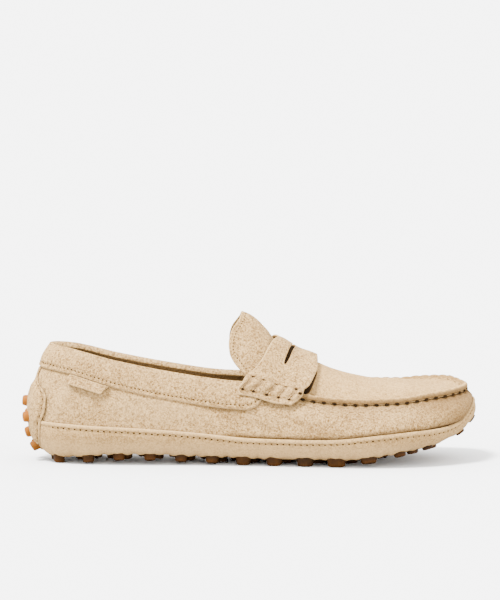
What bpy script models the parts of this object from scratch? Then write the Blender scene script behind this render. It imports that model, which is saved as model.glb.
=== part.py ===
# A right-foot driving moccasin in suede, standing empty on its rubber nubs.
# Metres, +Z up, toe towards +X, lateral side at -Y, origin on the floor under the heel.
import math
from bisect import bisect_right

import bmesh
import bpy
import numpy as np
from mathutils import Matrix, Vector

# The last: lengths, widths and heights of the upper's outside
SHOE_LENGTH = 0.278
BALL_WIDTH = 0.0975
HEEL_SEAT = 0.030  # from the back of the heel to the middle of its seat
COLLAR_HEIGHT = 0.0660  # from the sole's deck to the topline at the back
TOE_HEIGHT = 0.0365  # from the deck to the apron seam at the tip of the toe
INSTEP_HEIGHT = 0.0870  # from the deck to the top of the tongue
TOE_SPRING = 0.0036  # rise of the sole where the toe starts to round up
ARCH_RISE = 0.0042  # rise of the sole under the inner arch

# Leather and rubber
UPPER_WALL = 0.0018
OVERLAY_WALL = 0.0014
WRAP_WALL = 0.0016
APRON_WALL = 0.0015
STRAP_WALL = 0.0018
PLATE_WALL = 0.0012
HEEL_PLATE_WALL = 0.0007
INSOLE_WALL = 0.0025
CLEARANCE = 0.0003

# Nubs
NUB_HEIGHT = 0.0045
HEEL_NUB_HEIGHT = 0.0037
NUB_ROOT = 0.0037  # radius where a nub leaves the suede
NUB_TIP = 0.0031
NUB_PITCH = 0.0198
NUB_ROW_GAP = 0.0112
NUB_EDGE_INSET = 0.0120  # from the widest line in to the outermost row
NUB_FIRST = 0.0155  # from the middle of the heel to the first nub beside it
NUB_HEEL_INSET = 0.0150
NUB_SIDE_ROW = 0.52  # where the side rows stand between the spine and the rounding
NUB_TOE_STEP = 1.76  # where the nub on the tip of the toe stands up the wall
NUB_SIDES = 7
PLATE_MARGIN = 0.0010  # how far the sole's plate runs past the outermost nubs
PLATE_SHORT = 0.0030  # how much less at the heel, and along how far
PLATE_SHORT_RUN = 0.0120
TOE_PLATE_HALF = 0.0048
TOE_PLATE_CLEAR = 0.0140  # half the width over which the upper stops above it
WALL_CLEAR = 0.05  # steps up the wall between a plate and the upper's foot
TOE_PLATE_STEPS = (1.68, 1.72, 1.76, 1.80, 1.84)
HEEL_PLATE_SPAN = (0.100, 0.545)  # shares of the collar height
HEEL_PLATE_HALF = 0.0125
HEEL_PLATE_EDGE = 0.0075  # how far it stays inside the heel tab
TAB_LIFT_EDGE = 0.0020  # where the heel tab starts to lift over the plate, from its edge
TAB_LIFT_RUN = 0.0050
TAB_ROOM = 0.0006  # the wrap is cut back so far round the heel tab
TAB_ROOM_DEPTH = 0.0008
TAB_ROOM_REACH = 0.0060
HOLE_REACH = 0.0040  # how far a nub's hole is cut to each side of the suede's outer face

# Bands, seams and the saddle
WRAP_HEIGHT = 0.0200  # the wrap's rim beside the heel, above the deck
COLLAR_BAND = 0.0155  # width of the collar band on the shoe's side
COLLAR_TURN_IN = 0.0090  # how far the band comes down inside
BAND_AT_HEEL = 0.84  # share of its width at the back of the heel
BAND_WHOLE = 0.28  # share of the length where it has its full width
BAND_TIP = 0.22  # share of its width left at its front end
BAND_ROUND = 0.474  # shares of the length where the band's lower corner rounds up
BAND_END = 0.520
RIM_HEIGHT = 0.0036  # the moccasin seam's ridge above the upper's edge
RIM_WIDTH = 0.0030
SWELL = 0.0013  # how far the upper swells over the wrap's rim in front
SWELL_RISE = 0.0030  # heights over which it swells out, and in again below the seam
SWELL_FADE = 0.0110
SWELL_SPAN = (0.40, 0.55)  # shares of the length where it starts and is whole
UPPER_TUCK = 0.0090  # how far the upper runs down inside the wrap
FOOTBED_INSET = 0.0105
FOOTBED_TOE_INSET = 0.0100  # how much more at the toe
SLOT_WIDTH = 0.0021
STRAP_STAND = 0.0016  # how far the strap's front edge stands off
STRAP_DROP = (0.0078, 0.0056)  # how far its end runs down the wall, at back and front
TAG_WIDTH = 0.0255
TAG_DROP = 0.0062
TAG_FLARE = 0.0011
TAG_PLACE = 0.090  # share of the length where the tag starts
HEEL_TAB_REACH = 0.0262  # half the heel tab's greatest width, along the heel

# Around the shoe, up the wall, and along the last
LOOP_STEPS = 52
TAB_STEPS = 15
ROW_STEPS = 240
WALL_STEPS = (0.0, 1.0, 1.3, 1.58, 1.84, 2.12, 2.45, 2.75, 3.0)
LEAN_POWER = 2.0
DECK = NUB_HEIGHT + WRAP_WALL + CLEARANCE
HALF_BALL = BALL_WIDTH / 2
HEEL_FAN_SHARE = 0.111  # shares of the length where the underside fans out
TOE_FAN_SHARE = 0.832
SUEDE = (0.72, 0.58, 0.41)
SUEDE_DARK = (0.62, 0.49, 0.34)
GUM = (0.42, 0.19, 0.045)


def columns(names, rows):
    return {name: [row[i] for row in rows] for i, name in enumerate(names.split())}


# Plan of the widest line: shares of the length, and of half the ball width
PLAN = columns("share lateral medial", [
    (0.03, 0.435, 0.435),
    (0.10, 0.625, 0.620),
    (0.20, 0.690, 0.660),
    (0.32, 0.700, 0.635),
    (0.44, 0.740, 0.635),
    (0.55, 0.825, 0.710),
    (0.65, 0.920, 0.860),
    (0.74, 0.965, 0.965),
    (0.83, 0.900, 0.990),
    (0.91, 0.700, 0.870),
    (0.97, 0.390, 0.640),
])
TOE_TIP_SIDE = 0.16

# The topline, as shares of the collar height, back of the strap
COLLAR = columns("share lateral medial", [
    (0.00, 1.000, 1.000),
    (0.09, 0.965, 0.965),
    (0.19, 0.865, 0.865),
    (0.31, 0.765, 0.770),
    (0.43, 0.690, 0.700),
    (0.49, 0.668, 0.688),
])
# The apron seam, as shares of the toe height, from the strap to the toe
SEAM = columns("share lateral medial", [
    (0.55, 1.070, 1.180),
    (0.65, 0.915, 1.095),
    (0.74, 0.870, 1.050),
    (0.83, 0.890, 1.045),
    (0.91, 0.945, 1.090),
    (0.97, 0.995, 1.110),
    (1.00, 1.040, 1.040),
])
# The wall: the widest level as a share of the wall's height, and how far the top
# leans in and the bottom edge rounds under, as shares of half the ball width
WALL = columns("share widest lean round", [
    (0.00, 0.380, 0.252, 0.27),
    (0.03, 0.370, 0.240, 0.27),
    (0.10, 0.340, 0.185, 0.28),
    (0.20, 0.330, 0.145, 0.30),
    (0.32, 0.340, 0.120, 0.33),
    (0.44, 0.360, 0.115, 0.33),
    (0.50, 0.390, 0.140, 0.32),
    (0.55, 0.430, 0.180, 0.32),
    (0.65, 0.450, 0.240, 0.32),
    (0.74, 0.470, 0.270, 0.34),
    (0.83, 0.480, 0.265, 0.42),
    (0.91, 0.540, 0.235, 0.58),
    (0.97, 0.670, 0.160, 0.78),
    (1.00, 0.780, 0.095, 0.93),
])
# The underside: shares of the toe spring, and of the arch rise at the two edges
# and along the middle
UNDER = columns("share spring lateral medial middle", [
    (0.00, 0.00, 0.00, 0.00, 0.00),
    (0.10, 0.00, 0.00, 0.00, 0.00),
    (0.15, 0.00, 0.25, 0.30, 0.10),
    (0.20, 0.00, 0.48, 0.75, 0.35),
    (0.27, 0.00, 0.45, 1.00, 0.55),
    (0.34, 0.00, 0.20, 1.00, 0.40),
    (0.42, 0.00, 0.05, 0.70, 0.15),
    (0.50, 0.00, 0.00, 0.25, 0.00),
    (0.58, 0.00, 0.00, 0.00, 0.00),
    (0.69, 0.00, 0.00, 0.00, 0.00),
    (0.73, 0.16, 0.00, 0.00, 0.00),
    (0.79, 0.66, 0.00, 0.00, 0.00),
    (0.85, 1.36, 0.00, 0.00, 0.00),
    (0.92, 2.05, 0.00, 0.00, 0.00),
])
# The wrap's rim, as shares of its height beside the heel
WRAP_RIM = columns("share lateral medial", [
    (0.00, 1.02, 1.02),
    (0.12, 0.93, 0.97),
    (0.26, 0.83, 0.95),
    (0.37, 0.72, 0.88),
    (0.51, 0.57, 0.70),
    (0.60, 0.55, 0.60),
    (0.67, 0.57, 0.58),
    (0.78, 0.71, 0.71),
    (0.84, 0.78, 0.78),
    (0.91, 0.86, 0.86),
    (0.96, 1.00, 1.00),
    (0.985, 1.32, 1.32),
    (1.00, 1.58, 1.58),
])
# The middle line of apron and tongue, as shares of the instep height
RIDGE = columns("share height", [
    (0.40, 1.110),
    (0.44, 1.070),
    (0.477, 1.005),
    (0.493, 0.983),
    (0.510, 0.942),
    (0.525, 0.893),
    (0.540, 0.845),
    (0.575, 0.768),
    (0.612, 0.690),
    (0.645, 0.630),
    (0.688, 0.569),
    (0.727, 0.533),
    (0.764, 0.508),
    (0.810, 0.497),
    (0.860, 0.488),
    (0.910, 0.475),
    (0.960, 0.458),
    (1.000, 0.450),
])
ARCH_POWER = 2.2
# The back outline of tongue and apron: share of the length by place across
TONGUE_EDGE = columns("across share", [
    (0.00, 0.475),
    (0.30, 0.471),
    (0.47, 0.462),
    (0.62, 0.450),
    (0.74, 0.445),
    (0.82, 0.447),
    (0.88, 0.456),
    (0.93, 0.471),
    (1.00, 0.498),
])
TONGUE_ROWS = (0.530, 0.596)  # where it starts to dip under the apron, and where it ends
APRON_BACK = 0.566
# The heel tab: shares of the collar height, and of its own reach
HEEL_TAB = columns("height reach", [
    (0.030, 0.42),
    (0.095, 0.55),
    (0.195, 0.74),
    (0.300, 0.84),
    (0.415, 0.98),
    (0.530, 0.99),
    (0.610, 0.82),
    (0.665, 0.50),
    (0.725, 0.27),
    (0.790, 0.36),
])
# The heel tab's nubs: share of the collar height, and place to each side
HEEL_NUBS = columns("height aside", [
    (0.465, 0.0),
    (0.335, 0.0078),
    (0.335, -0.0078),
    (0.190, 0.0),
    (0.088, 0.0070),
    (0.088, -0.0070),
])
# The sole's nubs along the shoe: how much longer than wide, and shares of their height
NUBS = columns("share stretch height", [
    (0.00, 1.00, 1.00),
    (0.30, 1.08, 1.00),
    (0.48, 1.28, 1.00),
    (0.60, 1.48, 1.00),
    (0.69, 1.66, 1.00),
    (0.76, 1.38, 0.92),
    (0.83, 1.12, 0.72),
    (0.90, 0.96, 0.56),
    (0.96, 0.92, 0.38),
    (1.00, 0.92, 0.34),
])
# The strap's two edges as shares of the length: across is 0 on the ridge, 1 on the
# seam and 2 at the strap's end
STRAP_EDGE = columns("across back front", [
    (0.00, 0.546, 0.630),
    (0.50, 0.536, 0.636),
    (0.75, 0.518, 0.632),
    (0.92, 0.494, 0.620),
    (1.00, 0.479, 0.610),
    (1.40, 0.468, 0.602),
    (2.00, 0.470, 0.590),
])


# A smooth curve through a table's points that doesn't overshoot them
class Curve:
    def __init__(self, xs, ys):
        self.xs, self.ys = list(xs), list(ys)
        steps = [(ys[i + 1] - ys[i]) / (xs[i + 1] - xs[i]) for i in range(len(xs) - 1)]
        inner = [
            0.0 if a * b <= 0 else 2 * a * b / (a + b)
            for a, b in zip(steps[:-1], steps[1:])
        ]
        self.slopes = [steps[0], *inner, steps[-1]]

    def __call__(self, x):
        x = min(max(x, self.xs[0]), self.xs[-1])
        i = min(bisect_right(self.xs, x), len(self.xs) - 1) - 1
        h = self.xs[i + 1] - self.xs[i]
        t = (x - self.xs[i]) / h
        return (
            (1 + 2 * t) * (1 - t) ** 2 * self.ys[i]
            + t * (1 - t) ** 2 * h * self.slopes[i]
            + t * t * (3 - 2 * t) * self.ys[i + 1]
            + t * t * (t - 1) * h * self.slopes[i + 1]
        )


# A closed cubic curve through points, with its parameter running from 0 to 1
class Loop:
    def __init__(self, knots, points):
        self.knots, self.points = np.array(knots), np.array(points, float)
        n = len(points)
        h = np.diff(np.append(self.knots, 1.0))
        system = np.zeros((n, n))
        right = np.zeros((n, 2))
        for i in range(n):
            before, after = (i - 1) % n, (i + 1) % n
            system[i, before] += h[before]
            system[i, i] += 2 * (h[before] + h[i])
            system[i, after] += h[i]
            right[i] = 6 * (
                (self.points[after] - self.points[i]) / h[i]
                - (self.points[i] - self.points[before]) / h[before]
            )
        self.bends = np.linalg.solve(system, right)
        self.h = h

    def __call__(self, u):
        u = u % 1.0
        i = int(np.searchsorted(self.knots, u, side="right")) - 1
        after = (i + 1) % len(self.knots)
        h = self.h[i]
        b = (u - self.knots[i]) / h
        a = 1 - b
        return (
            a * self.points[i]
            + b * self.points[after]
            + ((a**3 - a) * self.bends[i] + (b**3 - b) * self.bends[after]) * h * h / 6
        )


def smooth(x):
    x = min(max(x, 0.0), 1.0)
    return x * x * (3 - 2 * x)


def widest_loop():
    heel, length = -HEEL_SEAT, SHOE_LENGTH
    stations = [heel + s * length for s in PLAN["share"]]
    lateral = [(x, -y * HALF_BALL) for x, y in zip(stations, PLAN["lateral"])]
    medial = [(x, y * HALF_BALL) for x, y in zip(stations, PLAN["medial"])]
    tip = (heel + length, TOE_TIP_SIDE * HALF_BALL)
    points = [(heel, 0.0), *lateral, tip, *reversed(medial)]
    half = len(lateral) + 1
    chords = [math.dist(points[i], points[(i + 1) % len(points)]) for i in range(len(points))]
    pairs = [(chords[i] + chords[-1 - i]) / 2 for i in range(half)]
    marks = np.cumsum([0.0, *pairs]) / (2 * sum(pairs))
    knots = [*marks, *(1 - marks[-2:0:-1])]
    return Loop(knots, points), sum(chords)


PLAN_LOOP, LOOP_LENGTH = widest_loop()
TOP = {}
for side in ("lateral", "medial"):
    TOP[side] = Curve(
        COLLAR["share"] + SEAM["share"],
        [COLLAR_HEIGHT * v for v in COLLAR[side]] + [TOE_HEIGHT * v for v in SEAM[side]],
    )
WIDEST = Curve(WALL["share"], WALL["widest"])
LEAN = Curve(WALL["share"], WALL["lean"])
ROUND = Curve(WALL["share"], WALL["round"])
LIFT = {name: Curve(UNDER["share"], UNDER[name]) for name in ("spring", "lateral", "medial", "middle")}
RIM = {side: Curve(WRAP_RIM["share"], WRAP_RIM[side]) for side in ("lateral", "medial")}
RIDGE_LINE = Curve(RIDGE["share"], RIDGE["height"])
TONGUE_LINE = Curve(TONGUE_EDGE["across"], TONGUE_EDGE["share"])
STRAP_LINES = [Curve(STRAP_EDGE["across"], STRAP_EDGE[side]) for side in ("back", "front")]
TAB_REACH = Curve(HEEL_TAB["height"], HEEL_TAB["reach"])
NUB_STRETCH = Curve(NUBS["share"], NUBS["stretch"])
NUB_RISE = Curve(NUBS["share"], NUBS["height"])


def side_of(u):
    return "lateral" if u % 1.0 < 0.5 else "medial"


def share_at(x):
    return (x + HEEL_SEAT) / SHOE_LENGTH


def share_of(u):
    return share_at(PLAN_LOOP(u)[0])


# Where a share of the length lies on the loop, on one side of the shoe
def loop_place(share, side):
    low, high = 0.0, 0.5
    for _ in range(40):
        middle = (low + high) / 2
        if share_of(middle) < share:
            low = middle
        else:
            high = middle
    return low if side == "lateral" else 1.0 - low


HEEL_FAN = loop_place(HEEL_FAN_SHARE, "lateral")
TOE_FAN = loop_place(TOE_FAN_SHARE, "lateral")


# The spine of the underside: midway between the two sides, fanning out round heel and toe
def spine_point(u):
    u = u % 1.0
    held = min(max(min(u, 1.0 - u), HEEL_FAN), TOE_FAN)
    return (Vector(PLAN_LOOP(held)) + Vector(PLAN_LOOP(1.0 - held))) / 2


# The sizes of the wall's section at one place of the loop
def section(u):
    edge = Vector(PLAN_LOOP(u))
    share = share_at(edge.x)
    inward = spine_point(u) - edge
    reach = inward.length
    inward = inward / reach
    top = TOP[side_of(u)](share)
    widest = top * WIDEST(share)
    lean = HALF_BALL * LEAN(share)
    rounding = min(HALF_BALL * ROUND(share), 0.97 * reach)
    floor = under_lift(edge + inward * rounding, 1.0, side_of(u))
    return edge, inward, reach, top, widest, lean, rounding, floor


# Height of the underside above the deck: edge is 0 along the spine and 1 at the rounding
def under_lift(place, edge, side):
    share = share_at(place.x)
    arch = LIFT["middle"](share) * (1 - edge) + LIFT[side](share) * edge
    return TOE_SPRING * LIFT["spring"](share) + ARCH_RISE * arch


# The upper's outer surface. w runs from 0 at the spine to 1 where the underside
# starts to round up, 2 at the widest line and 3 at the top edge.
def smooth_point(u, w):
    edge, inward, reach, top, widest, lean, rounding, floor = section(u)
    if w <= 1:
        place = edge + inward * (reach - (reach - rounding) * w)
        height = under_lift(place, w, side_of(u))
    elif w <= 2:
        angle = (w - 1) * math.pi / 2
        place = edge + inward * rounding * (1 - math.sin(angle))
        height = widest - (widest - floor) * math.cos(angle)
    else:
        place = edge + inward * lean * (w - 2) ** LEAN_POWER
        height = widest + (top - widest) * (w - 2)
    return Vector((place.x, place.y, DECK + height))


# The same surface in the flat steps that every layer shares, so that layers stay clear
def bare_point(u, w):
    k = min(bisect_right(WALL_STEPS, w), len(WALL_STEPS) - 1) - 1
    low, high = WALL_STEPS[k], WALL_STEPS[k + 1]
    return smooth_point(u, low).lerp(smooth_point(u, high), (w - low) / (high - low))


# Steps from one place up the wall to another, clamped so that each loop has as many
def span(low, high):
    return [low, *(min(max(w, low), high) for w in WALL_STEPS[1:-1]), high]


def wall_normal(u, w):
    du, dw = 0.002, 0.02
    if w < dw:
        place = spine_point(u)
        step = Vector((du, 0.0))
        rise = under_lift(place + step, 0.0, "lateral") - under_lift(place - step, 0.0, "lateral")
        return Vector((rise / (2 * du), 0.0, -1.0)).normalized()
    low, high = max(w - dw, 0.0), min(w + dw, 3.0)
    along = smooth_point(u + du, w) - smooth_point(u - du, w)
    up = smooth_point(u, high) - smooth_point(u, low)
    return along.cross(up).normalized()


def wall_point(u, w, off=0.0):
    return bare_point(u, w) + wall_normal(u, w) * off


def w_at_height(u, height):
    _, _, _, top, widest, _, _, floor = section(u)
    if height >= widest:
        return min(2 + (height - widest) / (top - widest), 3.0)
    share = min(max((widest - height) / (widest - floor), 0.0), 1.0)
    return 1 + math.acos(share) * 2 / math.pi


def w_at_inset(u, inset):
    _, _, reach, _, _, _, rounding, _ = section(u)
    if inset >= rounding:
        return max((reach - inset) / (reach - rounding), 0.0)
    return 1 + math.asin(1 - inset / rounding) * 2 / math.pi


def rim_height(u):
    return WRAP_HEIGHT * RIM[side_of(u)](share_of(u))


# Loop samples, closer together around heel and toe, the same for every layer
def loop_samples():
    evenly = (i / LOOP_STEPS for i in range(LOOP_STEPS))
    return [v - 0.42 * math.sin(4 * math.pi * v) / (4 * math.pi) for v in evenly]


# Objects, materials and the ways of making a mesh
def clear_scene():
    for obj in list(bpy.data.objects):
        bpy.data.objects.remove(obj)


def material(name, colour, roughness):
    made = bpy.data.materials.new(name)
    made.use_nodes = True
    shader = made.node_tree.nodes["Principled BSDF"]
    shader.inputs["Base Color"].default_value = (*colour, 1.0)
    shader.inputs["Roughness"].default_value = roughness
    shader.inputs["Metallic"].default_value = 0.0
    return made


def add_object(name, bm, collection, finish=None, weld=2e-4):
    bmesh.ops.remove_doubles(bm, verts=bm.verts, dist=weld)
    mesh = bpy.data.meshes.new(name)
    bm.to_mesh(mesh)
    bm.free()
    obj = bpy.data.objects.new(name, mesh)
    collection.objects.link(obj)
    if finish:
        mesh.materials.append(finish)
        mesh.shade_smooth()
        mesh.set_sharp_from_angle(angle=math.radians(35))
    return obj


# An open surface from rows of points. skip(row, column) leaves a cell out.
def sheet(rows, around=False, skip=None):
    bm = bmesh.new()
    made = [[bm.verts.new(p) for p in row] for row in rows]
    count = len(rows)
    for i in range(count if around else count - 1):
        here, after = made[i], made[(i + 1) % count]
        for j in range(len(here) - 1):
            if skip is None or not skip(i, j):
                bm.faces.new((here[j], after[j], after[j + 1], here[j + 1]))
    return bm


# A closed body lofted through rings of equal count, with its first ring capped by
# two end faces and a strip between top and underside
def tube_of_rings(rings, rim_count):
    bm = bmesh.new()
    made = [[bm.verts.new(p) for p in ring] for ring in rings]
    for here, after in zip(made[:-1], made[1:]):
        for j in range(len(here)):
            k = (j + 1) % len(here)
            bm.faces.new((here[j], after[j], after[k], here[k]))
    first = made[0]
    across = len(first) // 2 - rim_count
    right = rim_count + across
    bm.faces.new(first[:rim_count])
    bm.faces.new(first[right:right + rim_count])
    top = first[rim_count - 1:right + 1]
    under = [first[0], *reversed(first[right + rim_count:]), first[right + rim_count - 1]]
    for j in range(across + 1):
        bm.faces.new((top[j], top[j + 1], under[j + 1], under[j]))
    bmesh.ops.recalc_face_normals(bm, faces=bm.faces)
    return bm


def thicken(obj, thickness, outward):
    shell = obj.modifiers.new("wall", "SOLIDIFY")
    shell.thickness = thickness
    shell.offset = 1.0 if outward else -1.0
    shell.use_even_offset = True
    shell.use_quality_normals = True
    return obj


def boolean(obj, other, operation):
    cut = obj.modifiers.new(other.name, "BOOLEAN")
    cut.operation = operation
    cut.solver = "EXACT"
    cut.object = other
    return obj


def hide_helper(obj):
    obj.hide_render = True
    obj.display_type = "WIRE"
    return obj


# Nubs: each site is where its axis meets the suede's outer face, the way it points, its
# height and how far it is stretched along the shoe. Those near the floor stand on it.
def wrap_site(u, w):
    point, normal = wall_point(u, w, CLEARANCE + WRAP_WALL), wall_normal(u, w)
    share = share_at(point.x)
    height, stretch = NUB_HEIGHT * NUB_RISE(share), NUB_STRETCH(share)
    if (point + normal * NUB_HEIGHT).z < NUB_HEIGHT / 6:
        return point, Vector((0, 0, -1)), point.z, stretch
    return point, normal, height, stretch


# Sites along the outermost row, evenly spread from beside the heel's middle to the toe.
# The suede is drawn in tight beside the tip, and the nubs there are left out.
def row_sites(inset, first):
    marks = [0.5 * i / ROW_STEPS for i in range(ROW_STEPS + 1)]
    points = [bare_point(u, w_at_inset(u, inset)) for u in marks]
    runs = np.cumsum([0.0] + [(b - a).length for a, b in zip(points[:-1], points[1:])])
    count = max(round((runs[-1] - first) / NUB_PITCH), 1)
    sites = [wrap_site(0.5, w_at_inset(0.5, inset))]
    for i in range(count - 1):
        u = float(np.interp(first + (runs[-1] - first) * i / count, runs, marks))
        sites.append(wrap_site(u, w_at_inset(u, inset)))
        sites.append(wrap_site(1 - u, w_at_inset(1 - u, inset)))
    return sites


# Sites across the underside: a row down the spine, and one to each side half a pitch on
def inner_sites(first, side, w):
    sites = []
    for i in range(int((SHOE_LENGTH - HEEL_SEAT - first) / NUB_PITCH)):
        u = loop_place(share_at(first + i * NUB_PITCH), side)
        sites.append(wrap_site(u, w))
    return sites


# Whether a nub keeps its distance from others, measured in its own stretched widths
def far_enough(site, others):
    for other in others:
        gap = site[0] - other[0]
        gap.x /= site[3]
        if gap.length < NUB_ROW_GAP:
            return False
    return True


def sole_sites():
    sites = row_sites(NUB_EDGE_INSET, NUB_FIRST)
    sites.append(wrap_site(0.0, w_at_inset(0.0, NUB_HEEL_INSET)))
    inner = inner_sites(0.0, "lateral", 0.0)
    inner += inner_sites(-NUB_PITCH / 2, "lateral", NUB_SIDE_ROW)
    inner += inner_sites(-NUB_PITCH / 2, "medial", NUB_SIDE_ROW)
    for site in inner:
        if far_enough(site, sites):
            sites.append(site)
    return sites


def heel_sites():
    sites = []
    for share, aside in zip(HEEL_NUBS["height"], HEEL_NUBS["aside"]):
        u = -aside / LOOP_LENGTH % 1.0
        w = w_at_height(u, share * COLLAR_HEIGHT)
        off = tab_off(u, share) + OVERLAY_WALL
        sites.append((wall_point(u, w, off), wall_normal(u, w), HEEL_NUB_HEIGHT, 1.0))
    return sites


# Cones or cylinders along the sites' axes, sunk a little into what carries them
def studs(sites, root, tip, sink, cut=None):
    bm = bmesh.new()
    for point, way, height, stretch in sites:
        rise = height if cut is None else cut
        forward = Vector((1, 0, 0)) if abs(way.x) < abs(way.z) else Vector((0, 0, 1))
        forward = (forward - way * forward.dot(way)).normalized()
        turn = Matrix((forward * stretch, way.cross(forward), way)).transposed().to_4x4()
        turn.translation = point + way * (rise - sink) / 2
        bmesh.ops.create_cone(
            bm,
            cap_ends=True,
            segments=NUB_SIDES,
            radius1=root,
            radius2=tip,
            depth=rise + sink,
            matrix=turn,
        )
    return bm


# The plate's outer edge, just past the outermost nubs and shorter at the heel
def plate_edge(u):
    from_heel = min(u, 1 - u) * LOOP_LENGTH
    short = PLATE_SHORT * (1 - smooth((from_heel - PLATE_SHORT_RUN) / PLATE_SHORT_RUN))
    return w_at_inset(u, NUB_EDGE_INSET - NUB_ROOT - PLATE_MARGIN + short)


def build_sole(parts, helpers, suede, gum):
    samples = loop_samples()
    plate_rows = []
    for u in samples:
        edge = plate_edge(u)
        plate_rows.append([wall_point(u, w, -CLEARANCE) for w in span(0.0, edge)])
    plate = add_object("rubber_sole", sheet(plate_rows, around=True), parts, gum)
    thicken(plate, PLATE_WALL, outward=False)
    sites = sole_sites()
    sink = WRAP_WALL + 2 * CLEARANCE + PLATE_WALL / 2
    nubs = hide_helper(add_object("nub_cones", studs(sites, NUB_ROOT, NUB_TIP, sink), helpers))
    boolean(plate, nubs, "UNION")

    toe_rows = []
    for i in range(-2, 3):
        u = 0.5 + i * TOE_PLATE_HALF / 2 / LOOP_LENGTH
        toe_rows.append([wall_point(u, w, -CLEARANCE) for w in TOE_PLATE_STEPS])
    toe = add_object("toe_nub", sheet(toe_rows), parts, gum)
    thicken(toe, PLATE_WALL, outward=False)
    toe_site = wrap_site(0.5, NUB_TOE_STEP)
    nub = hide_helper(add_object("toe_cone", studs([toe_site], NUB_ROOT, NUB_TIP, sink), helpers))
    boolean(toe, nub, "UNION")

    wrap_rows = []
    for u in samples:
        rim = w_at_height(u, rim_height(u))
        wrap_rows.append([wall_point(u, w, CLEARANCE) for w in span(0.0, rim)])
    wrap = add_object("sole_wrap", sheet(wrap_rows, around=True), parts, suede)
    thicken(wrap, WRAP_WALL, outward=True)
    hole = NUB_ROOT + CLEARANCE
    cuts = studs([*sites, toe_site], hole, hole, HOLE_REACH, HOLE_REACH)
    boolean(wrap, hide_helper(add_object("nub_holes", cuts, helpers)), "DIFFERENCE")
    return wrap


# The heel tab lies on the upper at its border and over the heel's plate inside it
def tab_off(u, share):
    along = min(u, 1 - u) * LOOP_LENGTH
    reach = HEEL_TAB_REACH * TAB_REACH(share)
    inside = smooth((reach - along - TAB_LIFT_EDGE) / TAB_LIFT_RUN)
    inside *= smooth((share - 0.02) / 0.07) * smooth((0.66 - share) / 0.08)
    return 1.8 * CLEARANCE + (HEEL_PLATE_WALL + CLEARANCE) * inside


def tab_rows(grow, off_at):
    across = (-1, -0.75, -0.5, -0.25, 0, 0.25, 0.5, 0.75, 1)
    first, last = HEEL_TAB["height"][0] - grow / COLLAR_HEIGHT, HEEL_TAB["height"][-1]
    rows = []
    for i in range(TAB_STEPS + 1):
        share = first + (last - first) * i / TAB_STEPS
        reach = HEEL_TAB_REACH * TAB_REACH(share) + grow
        row = []
        for k in across:
            u = -k * reach / LOOP_LENGTH % 1.0
            row.append(wall_point(u, w_at_height(u, share * COLLAR_HEIGHT), off_at(u, share)))
        rows.append(row)
    return rows


def build_heel_tab(parts, helpers, wrap, suede, gum):
    tab = add_object("heel_tab", sheet(tab_rows(0.0, tab_off)), parts, suede)
    thicken(tab, OVERLAY_WALL, outward=True)
    sites = heel_sites()
    hole = NUB_ROOT + CLEARANCE
    holes = hide_helper(add_object("tab_holes", studs(sites, hole, hole, HOLE_REACH, HOLE_REACH), helpers))
    boolean(tab, holes, "DIFFERENCE")

    rows = []
    for i in range(7):
        share = HEEL_PLATE_SPAN[0] + (HEEL_PLATE_SPAN[1] - HEEL_PLATE_SPAN[0]) * i / 6
        reach = min(HEEL_TAB_REACH * TAB_REACH(share) - HEEL_PLATE_EDGE, HEEL_PLATE_HALF)
        row = []
        for k in (-1, -0.5, 0, 0.5, 1):
            u = -k * reach / LOOP_LENGTH % 1.0
            row.append(wall_point(u, w_at_height(u, share * COLLAR_HEIGHT), 1.4 * CLEARANCE))
        rows.append(row)
    plate = add_object("heel_nubs", sheet(rows), parts, gum)
    thicken(plate, HEEL_PLATE_WALL, outward=True)
    sink = OVERLAY_WALL + CLEARANCE + HEEL_PLATE_WALL / 2
    nubs = hide_helper(add_object("heel_cones", studs(sites, NUB_ROOT, NUB_TIP, sink), helpers))
    boolean(plate, nubs, "UNION")

    room = add_object("tab_room", sheet(tab_rows(TAB_ROOM, lambda u, share: -TAB_ROOM_DEPTH)), helpers)
    thicken(room, TAB_ROOM_REACH, outward=True)
    boolean(wrap, hide_helper(room), "DIFFERENCE")


# The upper swells a little over the wrap's rim in front of the arch
def swell(u, w):
    share = share_of(u)
    height = bare_point(u, w).z - DECK
    above = smooth((height - rim_height(u)) / SWELL_RISE)
    below_top = smooth((section(u)[3] - height) / SWELL_FADE)
    start, whole = SWELL_SPAN
    return SWELL * smooth((share - start) / (whole - start)) * above * below_top


def upper_foot(u):
    tucked = w_at_height(u, rim_height(u) - UPPER_TUCK)
    beyond = smooth((abs(u - 0.5) * LOOP_LENGTH - TOE_PLATE_CLEAR) / (TOE_PLATE_CLEAR / 2))
    over_toe = (TOE_PLATE_STEPS[-1] + WALL_CLEAR) * (1 - beyond)
    return max(tucked, plate_edge(u) + WALL_CLEAR, over_toe)


def build_upper(parts, suede):
    rows = []
    for u in loop_samples():
        foot = upper_foot(u)
        rim = max(w_at_height(u, rim_height(u) - UPPER_WALL / 4), foot + 0.02)
        over = rim + (3 - rim) * 0.14
        steps = [*span(foot, rim), *span(over, 3.0)]
        rows.append([wall_point(u, w, swell(u, w)) for w in steps])
    upper = add_object("upper", sheet(rows, around=True), parts, suede)
    return thicken(upper, UPPER_WALL, outward=False)


def build_insole(parts, finish):
    rows = []
    for u in loop_samples():
        inset = FOOTBED_INSET + FOOTBED_TOE_INSET * smooth((share_of(u) - 0.85) / 0.15)
        edge = w_at_inset(u, inset)
        off = -(UPPER_WALL + CLEARANCE)
        rows.append([wall_point(u, w, off) for w in span(0.0, edge)])
    insole = add_object("insole", sheet(rows, around=True), parts, finish)
    return thicken(insole, INSOLE_WALL, outward=False)


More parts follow.
